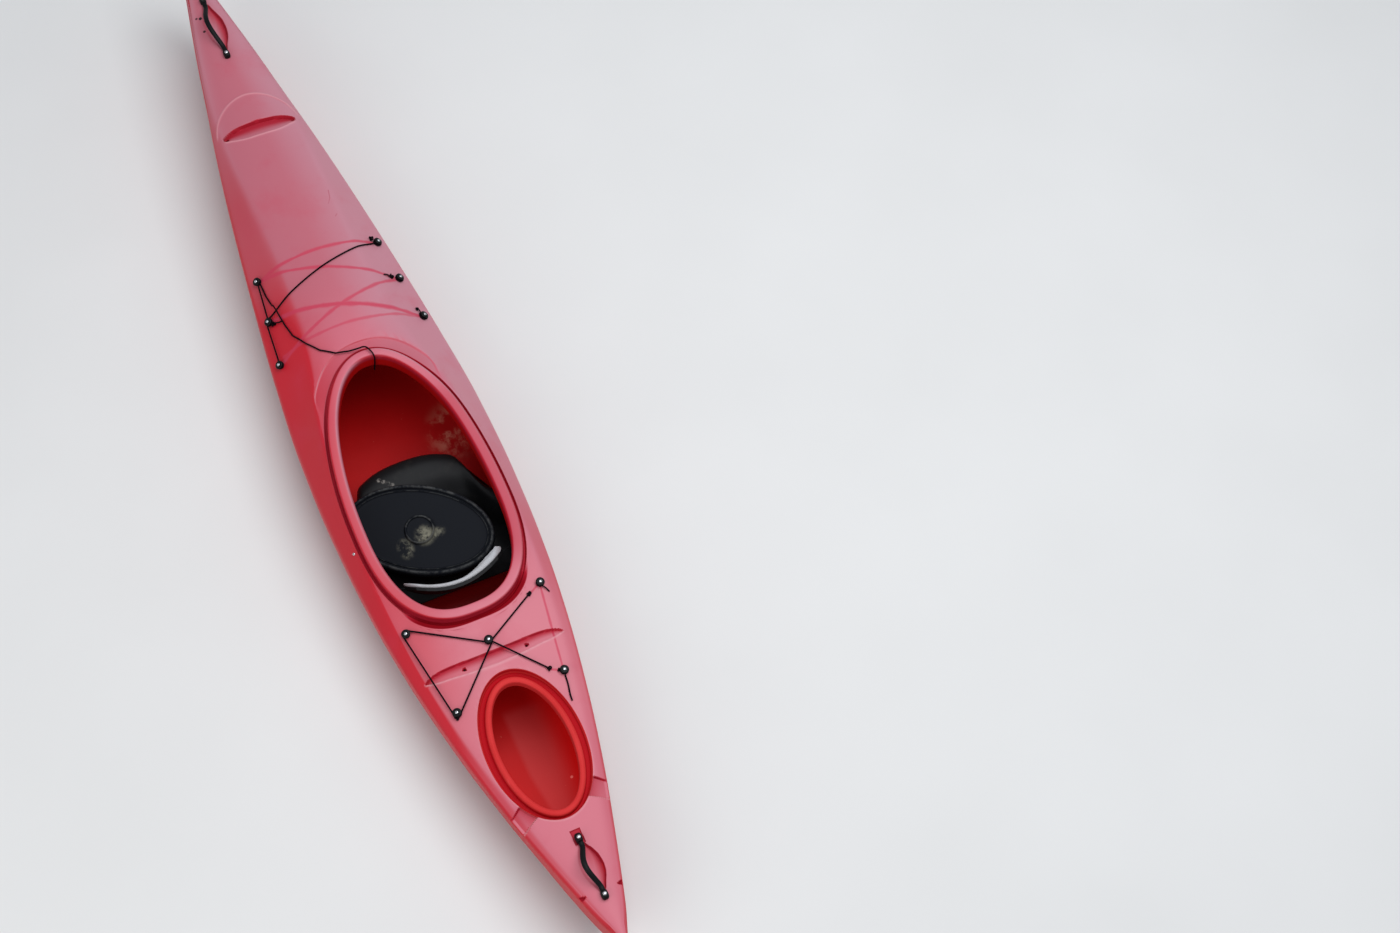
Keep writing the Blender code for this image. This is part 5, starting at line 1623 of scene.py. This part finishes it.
def makeCords():
    radius = cordForm["radius"]
    start = beside("eye_starboard_1", neckAt("eye_port_2"))
    taut = lacing(["eye_port_2"], start, beside("eye_port_3", neckAt("eye_port_2")))
    parts = [
        tubePart(fineLine(taut, 3), radius), coilPart("eye_starboard_1", 1.6, 0.0030, 0.0025, 0.8),
        coilPart("eye_port_2", 1.2, 0.0020, 0.0024, 2.0),
        coilPart("eye_port_3", 1.1, 0.0018, 0.0024, 1.0),
        deckKnot(0.562, -0.190, 0.0065, (1, 0.4, 0), 0.0075, 0.0025),
        deckKnot(0.376, 0.213, 0.0060, (1, -0.6, 0), 0.0080, 0.0025),
        shortEnd(((0.374, 0.206, 0.004), (0.366, 0.198, 0.006), (0.364, 0.189, 0.001)), 0.0022),
    ]
    cordPiece("foredeckCord", parts, "foredeck_cord")

    a = beside("eye_port_1", neckAt("eye_port_2"))
    b = beside("eye_port_2", neckAt("eye_port_1"), cordForm["passing"] - eyeForm["neck"])
    parts = [
        tubePart(fineLine([a] + drape(a, b, 14) + [b]), radius),
        coilPart("eye_port_1", 1.1, 0.0016, 0.0024, 0.4),
    ]
    cordPiece("foredeckShortCord", parts, "foredeck_short_cord")

    first, last = (Vector((x, y, float(deckPlain(x, y)) + 0.006)) for x, y in aftKnots)
    line = lacing(["eye_centre", "eye_port_4", "eye_port_5"], first, beside("eye_centre", last, 0.004))
    parts = [
        tubePart(fineLine(line, 3), radius), coilPart("eye_port_5", 1.3, 0.0025, 0.0024, 2.4),
        knotPart(first, (0.1, 0.3, 1), (1, 0.5, 0), 0.0062, 0.0024),
        deckKnot(-1.111, 0.178, 0.0060, (1, 0.5, 0), 0.0070, 0.0025),
    ]
    cordPiece("aftdeckCord", parts, "aftdeck_cord")

    a = beside("eye_centre", last, cordForm["passing"] - eyeForm["neck"])
    parts = [
        tubePart(fineLine([a] + drape(a, last, 14) + [last]), radius),
        coilPart("eye_centre", 1.2, 0.0020, 0.0024, 1.4),
        knotPart(last, (0.1, 0.3, 1), (1, 0.2, 0), 0.0066, 0.0024),
    ]
    cordPiece("aftdeckShortCord", parts, "aftdeck_short_cord")

    # What is left of cut cords at the starboard eyes
    parts = [
        coilPart("eye_starboard_2", 1.8, 0.0035, 0.0026, 1.2),
        coilPart("eye_starboard_3", 2.1, 0.0038, 0.0026, 0.2),
        deckKnot(0.397, -0.197, 0.0055, (0.2, 1, 0), 0.0072, 0.0025),
        shortEnd(((0.399, -0.191, 0.003), (0.401, -0.183, 0.004), (0.404, -0.177, 0.0005)), 0.0024),
        shortEnd(((0.241, -0.238, 0.004), (0.252, -0.236, 0.006), (0.263, -0.233, 0.0008)), 0.0022),
        deckKnot(0.260, -0.234, 0.0045, (1, 0.2, 0), 0.0048, 0.0021),
        coilPart("eye_starboard_4", 1.3, 0.0018, 0.0023, 1.9),
        coilPart("eye_starboard_5", 1.4, 0.0020, 0.0023, 2.6),
        shortEnd(((-0.815, -0.221, 0.004), (-0.826, -0.229, 0.004), (-0.838, -0.2355, 0.0008)), 0.0022),
        deckKnot(-1.092, -0.160, 0.0050, (0.2, 1, 0), 0.0048, 0.0021),
    ]
    cordPiece("cordRemnants", parts)

    slack = slackPath(taut)
    declareCord(cordPiece("slackCord", [tubePart(fineLine(slack, 3), radius)], "slack_cord"), slack)
    tail = stepped([lying(x, y, cordForm["fit"] - cordForm["clear"]) for x, y in tailRows], cordForm["step"])
    declareCord(cordPiece("tailCord", [tubePart(fineLine(tail, 4), radius)], "tail_cord"), tail)


def declareCord(item, points):
    length = sum((b - a).length for a, b in zip(points, points[1:]))


# Carry handles: a moulded strap between two blocks, each with a steel screw. Rows: name, front x, rear x
handleRows = (("bow_handle", 1.680, 1.430), ("stern_handle", -1.602, -1.786))
handleForm = {
    "radius": 0.0085, "rise": 0.030, "swing": 0.021, "length": 0.030, "width": 0.022, "height": 0.019,
    "gap": 0.0008, "flat": 0.62, "power": 3.4, "segments": 40, "steps": 49,
}


def gripLine(front, rear):
    h = handleForm
    t = np.linspace(0, 1, h["steps"])
    x = front + (rear - front) * t
    bow = np.sin(math.pi * np.clip((t - 0.06) / 0.88, 0, 1)) ** 1.3
    z = deckPlain(x, np.zeros(len(t))) + cordForm["fit"] + h["height"] / 2 + h["rise"] * bow
    return np.stack([x, h["swing"] * bow, z], -1), t


# Rows over its foot: height, how far the outline grows
blockRows = ((0.0100, 0.0), (0.0140, -0.0012), (0.0172, -0.0035), (0.0185, -0.0062))


def blockPart(where, normal, way, foot):
    # A rounded block, domed on top and longer toward the strap. way: 1 where the strap leaves toward +X
    h = handleForm
    angle = np.linspace(0, 2 * math.pi, h["segments"], endpoint=False)
    waves = np.cos(angle), np.sin(angle)
    cos, sin = (np.copysign(np.abs(wave) ** (2 / h["power"]), wave) for wave in waves)
    rings = [
        np.stack([(h["length"] / 2 + grow) * cos, (h["width"] / 2 + grow) * sin, np.full(len(angle), z)], -1)
        for z, grow in ((0.0004 - foot, -0.0014), (0.0012 - foot, -0.0003), *blockRows)
    ]
    points, faces, slot = gridPart(rings)
    return moved(points, standing(where, normal, (way, 0, 0))), faces, slot


def makeHandles():
    h = handleForm
    for name, front, rear in handleRows:
        title = name.split("_")[0] + "Handle"
        for label, x, way in (("front", front, -1), ("rear", rear, 1)):
            normal = deckNormal(x, 0.0)
            where = onDeck(x, 0.0, cordForm["fit"])
            matrix = standing(where, normal)
            sunk = blockRecess["first"] < x < blockRecess["last"]
            foot = blockRecess["depth"] if sunk else 0.0
            parts = [blockPart(where, normal, way, foot), screwPart(matrix, 0.0183, 1.15)]
            makePiece(
                f"{title}Block{label.capitalize()}", parts, ["fitting", "steel"],
                replaces=(f"{name}_bracket_{label}",),
            )
        clear = math.copysign(h["length"] / 2 + h["gap"], rear - front)
        path, t = gripLine(front + clear, rear - clear)
        # Thicker where it leaves the blocks, with a waist before the wide middle
        ends = 0.06 * ridgeLine(np.minimum(t, 1 - t) - 0.02, 0.04)
        radius = h["radius"] * (0.86 + 0.14 * np.sin(math.pi * t) ** 0.6 + ends)
        strap = tubePart(path, radius, 22, 0, h["flat"])
        makePiece(
            f"{title}Strap", [strap], ["rubberStrap"], replaces=(f"{name}_grip",),
            smoothing=50.0,
        )


# One steel bolt in the deck, outside the coaming to port
deckBolt = {"place": (-0.4924, 0.2690), "size": 0.95}


def makeDeckBolt():
    x, y = deckBolt["place"]
    part = screwPart(standing(onDeck(x, y), deckNormal(x, y)), -0.0004, deckBolt["size"], 0)
    makePiece("deckBolt", [part], ["steel"])


def makeSeatBolts():
    for label in ("port", "starboard"):
        name = f"seat_bolt_{label}"
        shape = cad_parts[name].data
        points = np.empty(len(shape.vertices) * 3)
        shape.vertices.foreach_get("co", points)
        points = points.reshape(-1, 3)
        middle = points.mean(0)
        normal = np.linalg.svd(points - middle)[2][2]
        normal = normal * -np.sign(normal[1] * middle[1])
        matrix = standing(Vector(middle) - Vector(normal) * 0.0015, normal)
        bolt = screwPart(matrix, 0.0, 1.15, 0)
        makePiece(f"seatBolt{label.capitalize()}", [bolt], ["steel"], replaces=(name,))


# The frame's own solids that stay in view take a finish and rounded edges
def dressFrame():
    finishes = {
        "seat_hanger": ("seat", 0.0012), "backrest_shell": ("seat", 0.0022),
        "backrest_strap": ("webbing", 0.0006), "rear_bulkhead": ("inside", 0.0),
        "foot_rail": ("fitting", 0.0018), "foot_pedal": ("fitting", 0.0020),
    }
    for name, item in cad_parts.items():
        for start, (finish, width) in finishes.items():
            if name.startswith(start):
                item.data.materials.clear()
                item.data.materials.append(paint[finish])
                if width:
                    step = item.modifiers.new("edges", "BEVEL")
                    step.width, step.segments, step.limit_method = width, 3, "ANGLE"
                    item.data.shade_smooth()
                    item.data.set_sharp_from_angle(angle=math.radians(50))


print("stage: seat, cover and backrest")
makeSeat()
makeCover()
makeBackrestPad()
print("stage: fittings")
makeEyes()
makeCords()
makeHandles()
makeDeckBolt()
makeSeatBolts()
dressFrame()


studioFloor = {
    "reach": 14.0, "dark": (0.66, 0.65, 0.63, 1), "light": (0.72, 0.71, 0.69, 1), "scale": 1.2,
    "roughness": 0.9,
}


def makeStage():
    f = studioFloor
    floor = bpy.data.meshes.new("studioFloor")
    corners = [(f["reach"] * x, f["reach"] * y, 0) for x, y in ((-1, -1), (1, -1), (1, 1), (-1, 1))]
    floor.from_pydata(corners, [], [(0, 1, 2, 3)])
    item = bpy.data.objects.new("studioFloor", floor)
    bpy.context.scene.collection.objects.link(item)
    made, place, normal = newMaterial("paleFloor")
    colour = mixColour(noise(place, f["scale"], 4.0), f["dark"], f["light"])
    finish(made, colour, f["roughness"], normal)
    floor.materials.append(made)


studioLights = (
    # name, place, aim, size, power, colour
    ("skyKey", (-0.6, -2.0, 6.6), (-0.4, 0.0, 0.2), 6.0, 400.0, (0.95, 0.97, 1.0)),
    ("sideFill", (-3.0, 4.5, 3.5), (-0.3, 0.0, 0.2), 4.0, 90.0, (1.0, 0.98, 0.95)),
)
studioSky = {"Color": (0.80, 0.86, 0.95, 1), "Strength": 0.50}


def makeLights():
    for name, where, aim, size, power, colour in studioLights:
        made = bpy.data.lights.new(name, "AREA")
        made.size, made.energy, made.color = size, power, colour
        item = bpy.data.objects.new(name, made)
        item.location = where
        item.rotation_euler = (Vector(aim) - Vector(where)).to_track_quat("-Z", "Y").to_euler()
        bpy.context.scene.collection.objects.link(item)
    world = bpy.data.worlds.new("studio")
    world.use_nodes = True
    for name, value in studioSky.items():
        world.node_tree.nodes["Background"].inputs[name].default_value = value
    bpy.context.scene.world = world
    bpy.context.scene.view_settings.view_transform = "Standard"


print("stage: floor and lights")
makeStage()
makeLights()
